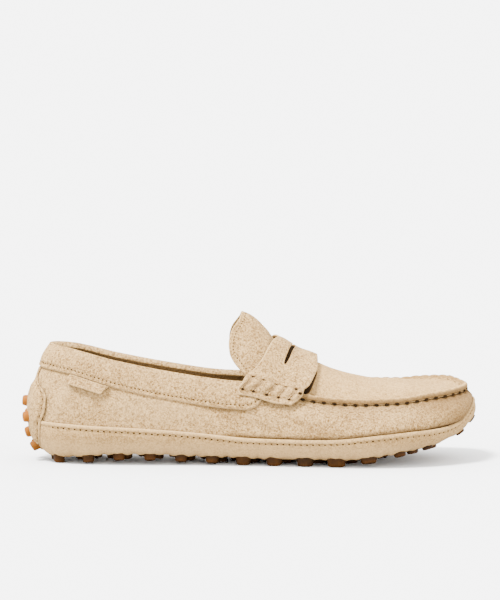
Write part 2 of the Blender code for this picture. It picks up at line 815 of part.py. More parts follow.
# The collar band: down the outside, over the top edge and down the inside
def band_width(u):
    share = share_of(u)
    width = COLLAR_BAND * (BAND_AT_HEEL + (1 - BAND_AT_HEEL) * smooth(share / BAND_WHOLE))
    end = min(max((share - BAND_ROUND) / (BAND_END - BAND_ROUND), 0.0), 1.0)
    return width * (BAND_TIP + (1 - BAND_TIP) * math.sqrt(1 - end * end))


def band_path(u):
    top = section(u)[3]
    low = w_at_height(u, top - band_width(u))
    off = CLEARANCE * (1 + smooth((share_of(u) - 0.43) / 0.04))
    inside = -(UPPER_WALL + 2 * CLEARANCE)
    outer = [wall_point(u, w, off + swell(u, w)) for w in span(low, 3.0)]
    edge = bare_point(u, 3)
    crest = edge + wall_normal(u, 3) * (-UPPER_WALL / 2) + Vector((0, 0, 2.2 * CLEARANCE))
    turn = w_at_height(u, top - COLLAR_TURN_IN)
    inner = [wall_point(u, w, inside) for w in reversed(span(turn, 3.0))]
    return [*outer, crest, *inner]


def build_collar_band(parts, suede):
    marks = [u if u < 0.5 else u - 1 for u in loop_samples()]
    shares = [BAND_END - (BAND_END - BAND_ROUND) * t for t in (0, 0.08, 0.25, 0.5, 0.85)]
    ends = [loop_place(share, "lateral") for share in shares]
    inside = sorted(u for u in marks if abs(u) < ends[-1] - 0.006)
    us = [*(-u for u in ends), *inside, *reversed(ends)]
    rows = [band_path(u % 1.0) for u in us]
    band = add_object("collar_band", sheet(rows), parts, suede)
    return thicken(band, OVERLAY_WALL, outward=True)


# Where the apron's face starts, just inside the seam's ridge
def face_edge(share, side):
    u = loop_place(share, side)
    edge = bare_point(u, 3) + section(u)[1].to_3d() * 0.95 * RIM_WIDTH
    return edge + Vector((0, 0, CLEARANCE + APRON_WALL))


# The instep and apron surface between the two seams, at a share of the length
def instep_point(share, across):
    lateral, medial = face_edge(share, "lateral"), face_edge(share, "medial")
    base = lateral.lerp(medial, (across + 1) / 2)
    crown = DECK + INSTEP_HEIGHT * RIDGE_LINE(share) - (lateral.z + medial.z) / 2
    width = (medial - lateral).length
    crown *= smooth(width / (0.35 * BALL_WIDTH))
    base.z += crown * (1 - abs(across) ** ARCH_POWER)
    return base


def instep_normal(share, across):
    ds, da = 0.004, 0.03
    along = instep_point(share + ds, across) - instep_point(share - ds, across)
    low, high = max(across - da, -1.0), min(across + da, 1.0)
    side = instep_point(share, high) - instep_point(share, low)
    return along.cross(side).normalized()


ACROSS = (-0.9, -0.78, -0.6, -0.38, -0.18, 0.0, 0.18, 0.38, 0.6, 0.78, 0.9)


# The tongue comes out above the collar band and tucks in under the apron
def tongue_point(across, t):
    back, free = TONGUE_LINE(abs(across)), TONGUE_ROWS[0]
    share = back + (free - back) * min(t, 1.0) + (TONGUE_ROWS[1] - free) * max(t - 1.0, 0.0)
    tucked = smooth((share - free) / 0.025)
    place = across * (1 - 0.14 * tucked)
    off = (OVERLAY_WALL + 2 * CLEARANCE) * smooth((BAND_END + 0.025 - share) / 0.025) * abs(across) ** 6
    off -= (APRON_WALL + CLEARANCE) * tucked
    return instep_point(share, place) + instep_normal(share, place) * off


def build_tongue(parts, suede):
    rows = []
    for across in (1.0, *reversed(ACROSS), -1.0):
        rows.append([tongue_point(across, t) for t in (0, 0.12, 0.35, 0.65, 1.0, 1.4, 2.0)])
    tongue = add_object("tongue", sheet(rows), parts, suede)
    return thicken(tongue, APRON_WALL, outward=False)


def build_apron(parts, suede):
    rings = []
    first = loop_place(APRON_BACK, "lateral")
    for u in [first, *(u for u in loop_samples() if first + 0.006 < u <= 0.5)]:
        grow = rim_grow(share_of(u))
        lateral, medial = seam_rim(u, grow), seam_rim(1.0 - u, grow)
        share = share_of(u)
        top = [instep_point(share, across) for across in ACROSS]
        under = [point - Vector((0, 0, APRON_WALL)) for point in top]
        rings.append([*lateral, *top, *reversed(medial), *reversed(under)])
    return add_object("apron", tube_of_rings(rings, len(lateral)), parts, suede, weld=5e-5)


# The ridge fades away under the strap
def rim_grow(share):
    return 0.15 + 0.85 * smooth((share - APRON_BACK) / 0.055)


# The seam's ridge, from under its inner side round to where the apron's face starts
def seam_rim(u, grow):
    edge = bare_point(u, 3)
    out = -section(u)[1].to_3d()
    up = Vector((0, 0, 1))
    high, wide = max(RIM_HEIGHT * grow, CLEARANCE + APRON_WALL), RIM_WIDTH
    profile = (
        (-0.95 * wide, CLEARANCE),
        (0.15 * wide, CLEARANCE),
        (0.20 * wide, 0.70 * high),
        (-0.15 * wide, high),
        (-0.60 * wide, 0.88 * high),
        (-0.95 * wide, CLEARANCE + APRON_WALL),
    )
    return [edge + out * a + up * b for a, b in profile]


# The strap: f runs from its back edge to its front, and p across the shoe, past 1
# down the wall to its end
def strap_share(f, p):
    back, front = (line(abs(p)) for line in STRAP_LINES)
    return back + (front - back) * f


def strap_point(f, p):
    share = strap_share(f, p)
    stand = STRAP_STAND * smooth((f - 0.55) / 0.45)
    over_band = (OVERLAY_WALL + CLEARANCE) * smooth((BAND_END + 0.036 - share) / 0.030)
    if abs(p) < 0.95:
        over = over_band * abs(p) ** 6
        lift = 2 * CLEARANCE + over + stand + 0.7 * RIM_HEIGHT * rim_grow(share) * smooth((abs(p) - 0.6) / 0.3)
        return instep_point(share, p) + instep_normal(share, p) * lift
    u = loop_place(share, "lateral" if p < 0 else "medial")
    if abs(p) <= 1:
        out = -section(u)[1].to_3d()
        high = max(RIM_HEIGHT * rim_grow(share), APRON_WALL + CLEARANCE) + over_band
        return bare_point(u, 3) + out * (over_band + CLEARANCE + stand) + Vector((0, 0, high + 2 * CLEARANCE + stand))
    drop = (STRAP_DROP[0] + (STRAP_DROP[1] - STRAP_DROP[0]) * f) * (abs(p) - 1)
    w = w_at_height(u, section(u)[3] - drop)
    off = 2 * CLEARANCE + swell(u, w) + over_band + stand + RIM_WIDTH * 0.30 * smooth((2.0 - abs(p)) / 0.9)
    return wall_point(u, w, off)


def build_strap(parts, suede):
    side = (0.22, 0.45, 0.64, 0.82, 1.0, 1.1, 1.4, 1.7, 2.0)
    path = (*reversed(side), 0.0, *(-p for p in side))
    rows = []
    for p in path:
        lens = SLOT_WIDTH * math.sqrt(max(1 - (p / 0.5) ** 2, 0.05)) / 2
        half = lens / (SHOE_LENGTH * (strap_share(1, p) - strap_share(0, p)))
        fs = (0.0, 0.15, 0.30, 0.46 - half, 0.46 + half, 0.64, 0.82, 1.0)
        rows.append([strap_point(f, p) for f in fs])
    slit = [i for i, p in enumerate(path) if abs(p) < 0.5]
    strap = sheet(rows, skip=lambda i, j: j == 3 and slit[0] <= i < slit[-1])
    saddle = add_object("saddle_strap", strap, parts, suede)
    return thicken(saddle, STRAP_WALL, outward=True)


def build_tag(parts, suede):
    start = TAG_PLACE
    rows = []
    for i in range(4):
        u = loop_place(start + (TAG_WIDTH / SHOE_LENGTH) * i / 3, "lateral")
        top = section(u)[3] - band_width(u) - 2 * CLEARANCE
        row = []
        for t in (0, 0.5, 1.0):
            w = w_at_height(u, top - TAG_DROP * t)
            row.append(wall_point(u, w, CLEARANCE + TAG_FLARE * t * t))
        rows.append(row)
    tag = add_object("side_tag", sheet(rows), parts, suede)
    for poly in tag.data.polygons:
        poly.flip()
    return thicken(tag, PLATE_WALL, outward=True)


def main():
    clear_scene()
    parts = bpy.data.collections.new("driving_moccasin")
    helpers = bpy.data.collections.new("helpers")
    for collection in (parts, helpers):
        bpy.context.scene.collection.children.link(collection)
    suede = material("sand_suede", SUEDE, 0.95)
    footbed = material("footbed_suede", SUEDE_DARK, 0.9)
    gum = material("gum_rubber", GUM, 0.55)
    wrap = build_sole(parts, helpers, suede, gum)
    build_heel_tab(parts, helpers, wrap, suede, gum)
    build_upper(parts, suede)
    build_insole(parts, footbed)
    build_collar_band(parts, suede)
    build_tongue(parts, suede)
    build_apron(parts, suede)
    build_strap(parts, suede)
    build_tag(parts, suede)


main()
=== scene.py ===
# A right-foot driving moccasin in sand suede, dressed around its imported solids.
import math

import bpy
import numpy as np
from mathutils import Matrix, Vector
from mathutils.bvhtree import BVHTree


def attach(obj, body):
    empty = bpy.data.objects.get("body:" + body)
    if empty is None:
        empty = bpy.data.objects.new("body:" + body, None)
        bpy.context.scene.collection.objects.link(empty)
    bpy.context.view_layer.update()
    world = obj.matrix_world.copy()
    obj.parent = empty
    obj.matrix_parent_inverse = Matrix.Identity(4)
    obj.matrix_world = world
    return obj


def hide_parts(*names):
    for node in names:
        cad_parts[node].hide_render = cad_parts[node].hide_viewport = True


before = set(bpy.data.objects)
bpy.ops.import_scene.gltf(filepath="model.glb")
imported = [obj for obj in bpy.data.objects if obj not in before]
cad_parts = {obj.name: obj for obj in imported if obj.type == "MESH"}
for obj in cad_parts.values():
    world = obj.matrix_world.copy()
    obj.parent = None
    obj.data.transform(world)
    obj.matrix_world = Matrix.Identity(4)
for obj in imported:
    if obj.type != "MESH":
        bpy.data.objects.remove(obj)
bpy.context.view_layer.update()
fine = 1.0  # how densely the pieces are meshed

# the last and the layers on it, in metres, as the solids have them
last = {
    "length": 0.278,
    "heelSeat": 0.030,
    "halfBall": 0.04875,
    "collarHeight": 0.0660,
    "toeHeight": 0.0365,
    "instepHeight": 0.0870,
    "toeSpring": 0.0036,
    "archRise": 0.0042,
    "deck": 0.0064,
    "wrapHeight": 0.0200,
    "tipSide": 0.16,
    "heelFan": 0.111,
    "toeFan": 0.832,
    "leanPower": 2.0,
    "archPower": 2.2,
}
layer = {"gap": 0.0003, "upper": 0.0018, "overlay": 0.0014, "wrap": 0.0016, "apron": 0.0015, "strap": 0.0018}


# a table's rows as one array for each named column
def columns(names, rows):
    return {name: np.array([row[i] for row in rows]) for i, name in enumerate(names.split())}


plan = columns("share lateral medial", [
    (0.03, 0.435, 0.435), (0.10, 0.625, 0.620), (0.20, 0.690, 0.660), (0.32, 0.700, 0.635),
    (0.44, 0.740, 0.635), (0.55, 0.825, 0.710), (0.65, 0.920, 0.860), (0.74, 0.965, 0.965),
    (0.83, 0.900, 0.990), (0.91, 0.700, 0.870), (0.97, 0.390, 0.640),
])
collarLine = columns("share lateral medial", [
    (0.00, 1.000, 1.000), (0.09, 0.965, 0.965), (0.19, 0.865, 0.865), (0.31, 0.765, 0.770),
    (0.43, 0.690, 0.700), (0.49, 0.668, 0.688),
])
seamLine = columns("share lateral medial", [
    (0.55, 1.070, 1.180), (0.65, 0.915, 1.095), (0.74, 0.870, 1.050), (0.83, 0.890, 1.045),
    (0.91, 0.945, 1.090), (0.97, 0.995, 1.110), (1.00, 1.040, 1.040),
])
wallShape = columns("share widest lean round", [
    (0.00, 0.380, 0.252, 0.27), (0.03, 0.370, 0.240, 0.27), (0.10, 0.340, 0.185, 0.28),
    (0.20, 0.330, 0.145, 0.30), (0.32, 0.340, 0.120, 0.33), (0.44, 0.360, 0.115, 0.33),
    (0.50, 0.390, 0.140, 0.32), (0.55, 0.430, 0.180, 0.32), (0.65, 0.450, 0.240, 0.32),
    (0.74, 0.470, 0.270, 0.34), (0.83, 0.480, 0.265, 0.42), (0.91, 0.540, 0.235, 0.58),
    (0.97, 0.670, 0.160, 0.78), (1.00, 0.780, 0.095, 0.93),
])
underShape = columns("share spring lateral medial middle", [
    (0.00, 0.00, 0.00, 0.00, 0.00), (0.10, 0.00, 0.00, 0.00, 0.00), (0.15, 0.00, 0.25, 0.30, 0.10),
    (0.20, 0.00, 0.48, 0.75, 0.35), (0.27, 0.00, 0.45, 1.00, 0.55), (0.34, 0.00, 0.20, 1.00, 0.40),
    (0.42, 0.00, 0.05, 0.70, 0.15), (0.50, 0.00, 0.00, 0.25, 0.00), (0.58, 0.00, 0.00, 0.00, 0.00),
    (0.69, 0.00, 0.00, 0.00, 0.00), (0.73, 0.16, 0.00, 0.00, 0.00), (0.79, 0.66, 0.00, 0.00, 0.00),
    (0.85, 1.36, 0.00, 0.00, 0.00), (0.92, 2.05, 0.00, 0.00, 0.00),
])
rimLine = columns("share lateral medial", [
    (0.00, 1.02, 1.02), (0.12, 0.93, 0.97), (0.26, 0.83, 0.95), (0.37, 0.72, 0.88),
    (0.51, 0.57, 0.70), (0.60, 0.55, 0.60), (0.67, 0.57, 0.58), (0.78, 0.71, 0.71),
    (0.84, 0.78, 0.78), (0.91, 0.86, 0.86), (0.96, 1.00, 1.00), (0.985, 1.32, 1.32),
    (1.00, 1.58, 1.58),
])
ridgeLine = columns("share height", [
    (0.40, 1.110), (0.44, 1.070), (0.477, 1.005), (0.493, 0.983), (0.510, 0.942), (0.525, 0.893),
    (0.540, 0.845), (0.575, 0.768), (0.612, 0.690), (0.645, 0.630), (0.688, 0.569), (0.727, 0.533),
    (0.764, 0.508), (0.810, 0.497), (0.860, 0.488), (0.910, 0.475), (0.960, 0.458), (1.000, 0.450),
])


# a smooth curve through a table's points that doesn't overshoot them
def curveOf(xs, ys):
    xs, ys = np.asarray(xs, float), np.asarray(ys, float)
    steps = np.diff(ys) / np.diff(xs)
    slopes = np.empty(len(xs))
    slopes[0], slopes[-1] = steps[0], steps[-1]
    a, b = steps[:-1], steps[1:]
    total = np.where(a + b == 0, 1.0, a + b)
    slopes[1:-1] = np.where(a * b <= 0, 0.0, 2 * a * b / total)

    def at(x):
        x = np.clip(x, xs[0], xs[-1])
        i = np.clip(np.searchsorted(xs, x, side="right") - 1, 0, len(xs) - 2)
        h = xs[i + 1] - xs[i]
        t = (x - xs[i]) / h
        return (
            (1 + 2 * t) * (1 - t) ** 2 * ys[i]
            + t * (1 - t) ** 2 * h * slopes[i]
            + t * t * (3 - 2 * t) * ys[i + 1]
            + t * t * (t - 1) * h * slopes[i + 1]
        )

    return at


# each column of a table as a curve over its shares
def curvesOf(table):
    return {name: curveOf(table["share"], table[name]) for name in table if name != "share"}


def smooth(x):
    x = np.clip(x, 0.0, 1.0)
    return x * x * (3 - 2 * x)


def bell(x):
    return np.exp(-np.square(x))


# the widest line seen from above: a closed cubic curve, u from 0 at the heel round the
# lateral side to 0.5 at the toe and back along the medial side
def makePlanLoop():
    heel, length = -last["heelSeat"], last["length"]
    xs = heel + plan["share"] * length
    lateral = np.column_stack([xs, -plan["lateral"] * last["halfBall"]])
    medial = np.column_stack([xs, plan["medial"] * last["halfBall"]])
    tip = [[heel + length, last["tipSide"] * last["halfBall"]]]
    points = np.vstack([[[heel, 0.0]], lateral, tip, medial[::-1]])
    chords = np.linalg.norm(np.roll(points, -1, axis=0) - points, axis=1)
    half = len(lateral) + 1
    pairs = [(chords[i] + chords[-1 - i]) / 2 for i in range(half)]
    marks = np.cumsum([0.0, *pairs]) / (2 * sum(pairs))
    knots = np.array([*marks, *(1 - marks[-2:0:-1])])
    n = len(points)
    h = np.diff(np.append(knots, 1.0))
    system, right = np.zeros((n, n)), np.zeros((n, 2))
    for i in range(n):
        before, after = (i - 1) % n, (i + 1) % n
        system[i, before] += h[before]
        system[i, i] += 2 * (h[before] + h[i])
        system[i, after] += h[i]
        right[i] = 6 * ((points[after] - points[i]) / h[i] - (points[i] - points[before]) / h[before])
    bends = np.linalg.solve(system, right)

    def at(u):
        u = np.mod(u, 1.0)
        i = np.clip(np.searchsorted(knots, u, side="right") - 1, 0, n - 1)
        after = (i + 1) % n
        step = h[i][..., None]
        b = (u - knots[i])[..., None] / step
        a = 1 - b
        lift = (a**3 - a) * bends[i] + (b**3 - b) * bends[after]
        return a * points[i] + b * points[after] + lift * step * step / 6

    return at, float(chords.sum())


planLoop, loopLength = makePlanLoop()
topShares = np.append(collarLine["share"], seamLine["share"])
topAt, rimAt = {}, {}
for side in ("lateral", "medial"):
    heights = np.append(last["collarHeight"] * collarLine[side], last["toeHeight"] * seamLine[side])
    topAt[side] = curveOf(topShares, heights)
    rimAt[side] = curveOf(rimLine["share"], last["wrapHeight"] * rimLine[side])
wallAt, underAt, ridgeAt = curvesOf(wallShape), curvesOf(underShape), curvesOf(ridgeLine)["height"]


# the share along the shoe from the heel, of an x or of a place on the loop
def shareAt(x):
    return (x + last["heelSeat"]) / last["length"]


def shareOf(u):
    return shareAt(planLoop(u)[..., 0])


halfMarks = np.linspace(0.0, 0.5, 4001)
loopMarks = np.linspace(0.0, 1.0, 8001)
sideShares = {"lateral": shareOf(halfMarks), "medial": shareOf(1.0 - halfMarks)}


# the length run along a line of points, from its first to each
def runsOf(points):
    return np.append(0.0, np.cumsum(np.linalg.norm(np.diff(points, axis=0), axis=1)))


loopRuns = runsOf(planLoop(loopMarks))


# places on the loop, evenly spaced by length
def evenLoop(count, start=0.0, end=1.0):
    a, b = np.interp([start, end], loopMarks, loopRuns)
    return np.interp(np.linspace(a, b, count), loopRuns, loopMarks)


# the place on the loop at a share along the shoe
def loopPlace(share, side):
    u = np.interp(share, sideShares[side], halfMarks)
    return u if side == "lateral" else 1.0 - u


heelFan = float(loopPlace(last["heelFan"], "lateral"))
toeFan = float(loopPlace(last["toeFan"], "lateral"))


# the middle line that the sections lean to, held back at the heel and the toe so that they fan
def spineAt(u):
    u = np.mod(u, 1.0)
    held = np.clip(np.minimum(u, 1 - u), heelFan, toeFan)
    return (planLoop(held) + planLoop(1 - held)) / 2


def onSide(u, table, share):
    return np.where(np.mod(u, 1.0) < 0.5, table["lateral"](share), table["medial"](share))


# how far the underside lies above the deck: edge is 0 on the spine and 1 at the side
def underLift(x, edge, u):
    share = shareAt(x)
    arch = underAt["middle"](share) * (1 - edge) + onSide(u, underAt, share) * edge
    return last["toeSpring"] * underAt["spring"](share) + last["archRise"] * arch


# what one section across the shoe is made from: its edge and way in, then its lengths
def section(u):
    edge = planLoop(u)
    share = shareAt(edge[..., 0])
    inward = spineAt(u) - edge
    reach = np.linalg.norm(inward, axis=-1)
    inward = inward / reach[..., None]
    top = onSide(u, topAt, share)
    widest = top * wallAt["widest"](share)
    lean = last["halfBall"] * wallAt["lean"](share)
    rounding = np.minimum(last["halfBall"] * wallAt["round"](share), 0.97 * reach)
    floor = underLift(edge[..., 0] + inward[..., 0] * rounding, 1.0, u)
    return edge, inward, reach, top, widest, lean, rounding, floor


# the upper's outer surface: w is 0 on the spine underneath, 1 where it rounds up,
# 2 on the widest line and 3 on the top edge
def barePoint(u, w):
    u, w = np.broadcast_arrays(np.asarray(u, float), np.asarray(w, float))
    edge, inward, reach, top, widest, lean, rounding, floor = section(u)
    low, mid, high = np.clip(w, 0, 1), np.clip(w - 1, 0, 1), np.clip(w - 2, 0, 1)
    under = reach - (reach - rounding) * low
    turning = rounding * (1 - np.sin(mid * math.pi / 2))
    leaning = lean * high ** last["leanPower"]
    inset = np.where(w <= 1, under, np.where(w <= 2, turning, leaning))
    place = edge + inward * inset[..., None]
    turned = widest - (widest - floor) * np.cos(mid * math.pi / 2)
    upright = widest + (top - widest) * high
    height = np.where(w <= 1, underLift(place[..., 0], low, u), np.where(w <= 2, turned, upright))
    return np.concatenate([place, (last["deck"] + height)[..., None]], axis=-1)


def unit(v):
    return v / np.maximum(np.linalg.norm(v, axis=-1, keepdims=True), 1e-12)


# the way out of that surface, worked out from neighbours du and dw away
def wallNormal(u, w, du=0.0015, dw=0.02, dx=0.002):
    u, w = np.broadcast_arrays(np.asarray(u, float), np.asarray(w, float))
    held = np.maximum(w, dw)
    along = barePoint(u + du, held) - barePoint(u - du, held)
    up = barePoint(u, np.minimum(held + dw, 3)) - barePoint(u, held - dw)
    side = unit(np.cross(along, up))
    x = spineAt(u)[..., 0]
    rise = underLift(x + dx, 0.0, u) - underLift(x - dx, 0.0, u)
    spine = unit(np.stack([rise / (2 * dx), np.zeros_like(x), -np.ones_like(x)], axis=-1))
    t = smooth(w / 0.15)[..., None]
    return unit(spine * (1 - t) + side * t)


def wallPoint(u, w, off=0.0):
    off = np.asarray(off, float)
    return barePoint(u, w) + wallNormal(u, w) * off[..., None]


# w where the surface is at a height above the deck
def wAtHeight(u, height):
    _, _, _, top, widest, _, _, floor = section(np.asarray(u, float))
    above = 2 + (height - widest) / (top - widest)
    below = 1 + np.arccos(np.clip((widest - height) / (widest - floor), 0, 1)) * 2 / math.pi
    return np.where(height >= widest, np.minimum(above, 3), below)


# w where the surface underneath is a distance in from the widest line
def wAtInset(u, inset):
    _, _, reach, _, _, _, rounding, _ = section(np.asarray(u, float))
    flat = np.maximum((reach - inset) / (reach - rounding), 0)
    turned = 1 + np.arcsin(np.clip(1 - inset / rounding, 0, 1)) * 2 / math.pi
    return np.where(inset >= rounding, flat, turned)


# how high the sole wrap's edge stands
def rimHeight(u):
    return onSide(u, rimAt, shareOf(u))


# a soft, repeatable unevenness of about -1 to 1 over any points
def wobble(points, size, seed):
    rng = np.random.default_rng(seed)
    total = np.zeros(points.shape[:-1])
    for _ in range(7):
        way = unit(rng.normal(size=3)) * 2 * math.pi / (size * rng.uniform(0.7, 1.6))
        total += np.sin(points @ way + rng.uniform(0, 2 * math.pi))
    return total / 4.0


print("shaders")


# a socket whose arithmetic adds Math nodes
class Flow:
    def __init__(self, finish, socket):
        self.finish, self.socket = finish, socket

    def maths(self, operation, a, b, clamp=False):
        settings = {"operation": operation, "use_clamp": clamp}
        return self.finish.node("ShaderNodeMath", settings, {0: a, 1: b})

    def __add__(self, other):
        return self.maths("ADD", self, other)

    def __radd__(self, other):
        return self.maths("ADD", other, self)

    def __sub__(self, other):
        return self.maths("SUBTRACT", self, other)

    def __rsub__(self, other):
        return self.maths("SUBTRACT", other, self)

    def __mul__(self, other):
        return self.maths("MULTIPLY", self, other)

    def __rmul__(self, other):
        return self.maths("MULTIPLY", other, self)

    # kept between 0 and 1
    def held(self):
        return self.maths("ADD", self, 0.0, clamp=True)


class Finish:
    def __init__(self, name, **sockets):
        self.material = bpy.data.materials.new(name)
        self.material.use_nodes = True
        self.tree = self.material.node_tree
        self.shader = self.tree.nodes["Principled BSDF"]
        for key, value in sockets.items():
            self.shader.inputs[key.replace("_", " ")].default_value = value

    # any node: its settings first, then its sockets' values or links
    def node(self, kind, settings=None, sockets=None, out=0):
        made = self.tree.nodes.new(kind)
        for key, value in (settings or {}).items():
            if key == "ramp":
                while len(made.color_ramp.elements) < len(value):
                    made.color_ramp.elements.new(0.5)
                for element, (place, colour) in zip(made.color_ramp.elements, value):
                    element.position, element.color = place, (*colour, 1.0)
            else:
                setattr(made, key, value)
        byName = {s.identifier: s for s in made.inputs}
        for key, value in (sockets or {}).items():
            self.join(made.inputs[key] if isinstance(key, int) else byName[key], value)
        return Flow(self, made.outputs[out])

    def join(self, socket, value):
        if isinstance(value, Flow):
            self.tree.links.new(value.socket, socket)
        else:
            socket.default_value = value

    def feed(self, **links):
        for key, value in links.items():
            self.join(self.shader.inputs[key.replace("_", " ")], value)
        return self.material

    def place(self):
        return self.node("ShaderNodeTexCoord", out=3)

    def noise(self, scale, detail=3.0, rough=0.55, warp=0.0):
        sockets = {"Vector": self.place(), "Scale": scale, "Detail": detail}
        sockets.update({"Roughness": rough, "Distortion": warp})
        return self.node("ShaderNodeTexNoise", {}, sockets)

    def blend(self, factor, a, b):
        a, b = ((*c, 1.0) if isinstance(c, tuple) else c for c in (a, b))
        sockets = {"Factor_Float": factor, "A_Color": a, "B_Color": b}
        return self.node("ShaderNodeMix", {"data_type": "RGBA"}, sockets, out=2)

    def ramp(self, factor, *stops):
        shades = [(place, (v, v, v)) for place, v in stops]
        return self.node("ShaderNodeValToRGB", {"ramp": shades}, {"Fac": factor})

    def tone(self):
        return self.node("ShaderNodeAttribute", {"attribute_name": "tone"}, out=2)

    def bump(self, height, distance, strength):
        sockets = {"Height": height, "Distance": distance, "Strength": strength}
        return self.node("ShaderNodeBump", {}, sockets)


suedeLook = {
    "light": (0.2258, 0.1365, 0.0503),
    "dark": (0.1339, 0.0735, 0.0232),
    "bare": (0.3019, 0.1978, 0.0893),
    "darkFleckAndShade": (0.0534, 0.0271, 0.0079),
    "shadow": (0.0070, 0.0035, 0.0015),
    "sheenTint": (1.0, 0.86, 0.66, 1.0),
    "napDepth": 0.00050,
    "cloudScale": 58.0,
    "strokeScale": 250.0,
    "mottleScale": 640.0,
    "speckScale": 880.0,
    "napScale": 1500.0,
}


# brushed suede: cloudy stroked patches and a fine speckled nap. the piece's own "tone" is 0.5 on plain suede;
# less carries painted shade (creases, grooves, recesses, under overlays), more gives pale edges and painted
# highlights, and below 0 deep painted shadow
def suede(name, look, shade, grain):
    finish = Finish(name, Roughness=0.96, IOR=1.35, Specular_IOR_Level=0.01, Sheen_Weight=0.03,
                    Sheen_Roughness=0.55, Sheen_Tint=look["sheenTint"])
    parts = ("light", "dark", "bare", "darkFleckAndShade")
    light, dark, bare, darkFleckAndShade = (tuple(c * shade for c in look[part]) for part in parts)
    cloud = finish.noise(look["cloudScale"], 4.0, 0.6, 0.6)
    stroke = finish.noise(look["strokeScale"], 3.0, 0.6, 1.2)
    mottle = finish.noise(look["mottleScale"], 2.0, 0.6, 0.8)
    speck = finish.noise(look["speckScale"], 2.0, 0.6)
    nap = finish.noise(look["napScale"], 3.0, 0.7)
    patch = finish.ramp(cloud * 0.45 + stroke * 0.55, (0.40, 0.0), (0.60, 1.0))
    low = tuple(b + (a - b) * grain * 0.8 for a, b in zip(dark, light))
    colour = finish.blend(patch, low, light)
    layers = [
        (nap, (0.44, 0.0), (0.60, 1.0), 0.70, bare),
        (speck, (0.50, 0.0), (0.64, 1.0), 0.62, darkFleckAndShade),
        (mottle, (0.50, 0.0), (0.66, 1.0), 0.42, darkFleckAndShade),
        (mottle, (0.32, 1.0), (0.46, 0.0), 0.35, bare),
    ]
    for fleck, start, end, strength, over in layers:
        colour = finish.blend(finish.ramp(fleck, start, end) * (strength * grain), colour, over)
    tone = finish.tone()
    # painted shade below tone 0.5, pale edges and painted highlights above it, deep painted shadow below 0
    colour = finish.blend(((0.5 - tone) * 1.9).held(), colour, darkFleckAndShade)
    colour = finish.blend(((tone - 0.5) * 1.8).held(), colour, bare)
    colour = finish.blend((0.0 - tone).held(), colour, look["shadow"])
    height = nap * 0.7 + speck * 0.6 + stroke * 0.5
    return finish.feed(Base_Color=colour, Normal=finish.bump(height, look["napDepth"] * grain, 0.9))


gumLook = {
    "lit": (0.1575, 0.0494, 0.0026),
    "deep": (0.0118, 0.0053, 0.0016),
    "worn": (0.1960, 0.0744, 0.0083),
    "gritDepth": 0.00012,
}


# gum rubber: tone runs from 0, painted shade deep brown under the foot, to 1, painted light on the heel nubs
# that face the light
def gumRubber(name, look):
    finish = Finish(name, IOR=1.5, Specular_IOR_Level=0.04)
    cloud = finish.noise(160.0, 3.0)
    grit = finish.noise(1400.0, 2.0)
    colour = finish.blend(finish.tone().held(), look["deep"], look["lit"])
    colour = finish.blend(finish.ramp(cloud, (0.48, 0.0), (0.78, 1.0)) * 0.08, colour, look["worn"])
    normal = finish.bump(grit, look["gritDepth"], 0.6)
    return finish.feed(Base_Color=colour, Roughness=0.42 + 0.25 * cloud, Normal=normal)


threadLook = {"light": (0.2712, 0.1724, 0.0753), "dark": (0.1663, 0.0971, 0.0368), "plyDepth": 0.0001}
lipThreadLook = {"light": (0.120, 0.074, 0.031), "dark": (0.075, 0.043, 0.017), "plyDepth": 0.0001}


def waxedThread(name, look):
    finish = Finish(name, Roughness=0.7, IOR=1.4, Specular_IOR_Level=0.02)
    ply = finish.noise(900.0, 2.0)
    colour = finish.blend(finish.ramp(ply, (0.35, 0.0), (0.65, 1.0)), look["dark"], look["light"])
    return finish.feed(Base_Color=colour, Normal=finish.bump(ply, look["plyDepth"], 0.5))


# needle holes are near-black: painted shade inside each hole
holeLook = {"deep": (0.0066, 0.0035, 0.0015), "lit": (0.0140, 0.0074, 0.0031)}


def needleHole(name, look):
    finish = Finish(name, Roughness=1.0, Specular_IOR_Level=0.0)
    return finish.feed(Base_Color=finish.blend(finish.noise(700.0, 2.0), look["deep"], look["lit"]))


sandSuede = suede("sandSuede", suedeLook, shade=1.05, grain=1.2)
strapSuede = suede("strapSuede", suedeLook, shade=1.03, grain=1.2)
apronSuede = suede("apronSuede", suedeLook, shade=1.12, grain=0.75)
wrapSuede = suede("wrapSuede", suedeLook, shade=1.06, grain=0.80)
# the footbed's suede is darkened to 0.62 of the rest: painted shade inside the shoe
shadedFootbedSuede = suede("shadedFootbedSuede", suedeLook, shade=0.62, grain=0.8)
gum = gumRubber("gum", gumLook)
thread = waxedThread("thread", threadLook)
lipThread = waxedThread("lipThread", lipThreadLook)
hole = needleHole("needleHole", holeLook)


# meshes from grids of points; tone is 0.5 on plain suede
def addMesh(name, verts, faces, finish, tone=None):
    mesh = bpy.data.meshes.new(name)
    mesh.from_pydata(np.asarray(verts, float).tolist(), [], [list(f) for f in faces])
    attribute = mesh.attributes.new("tone", "FLOAT", "POINT")
    values = np.full(len(verts), 0.5) if tone is None else np.asarray(tone, float)
    attribute.data.foreach_set("value", values)
    mesh.materials.append(finish)
    mesh.shade_smooth()
    obj = bpy.data.objects.new(name, mesh)
    bpy.context.scene.collection.objects.link(obj)
    return obj


# the faces of a grid, which may close on itself along its rows or its columns
def gridFaces(rows, cols, aroundRows=False, aroundCols=False):
    i = np.arange(rows if aroundRows else rows - 1)[:, None]
    j = np.arange(cols if aroundCols else cols - 1)[None, :]
    a = i * cols + j
    b = ((i + 1) % rows) * cols + j
    c = ((i + 1) % rows) * cols + (j + 1) % cols
    d = i * cols + (j + 1) % cols
    return np.stack([a, b, c, d], axis=-1).reshape(-1, 4)


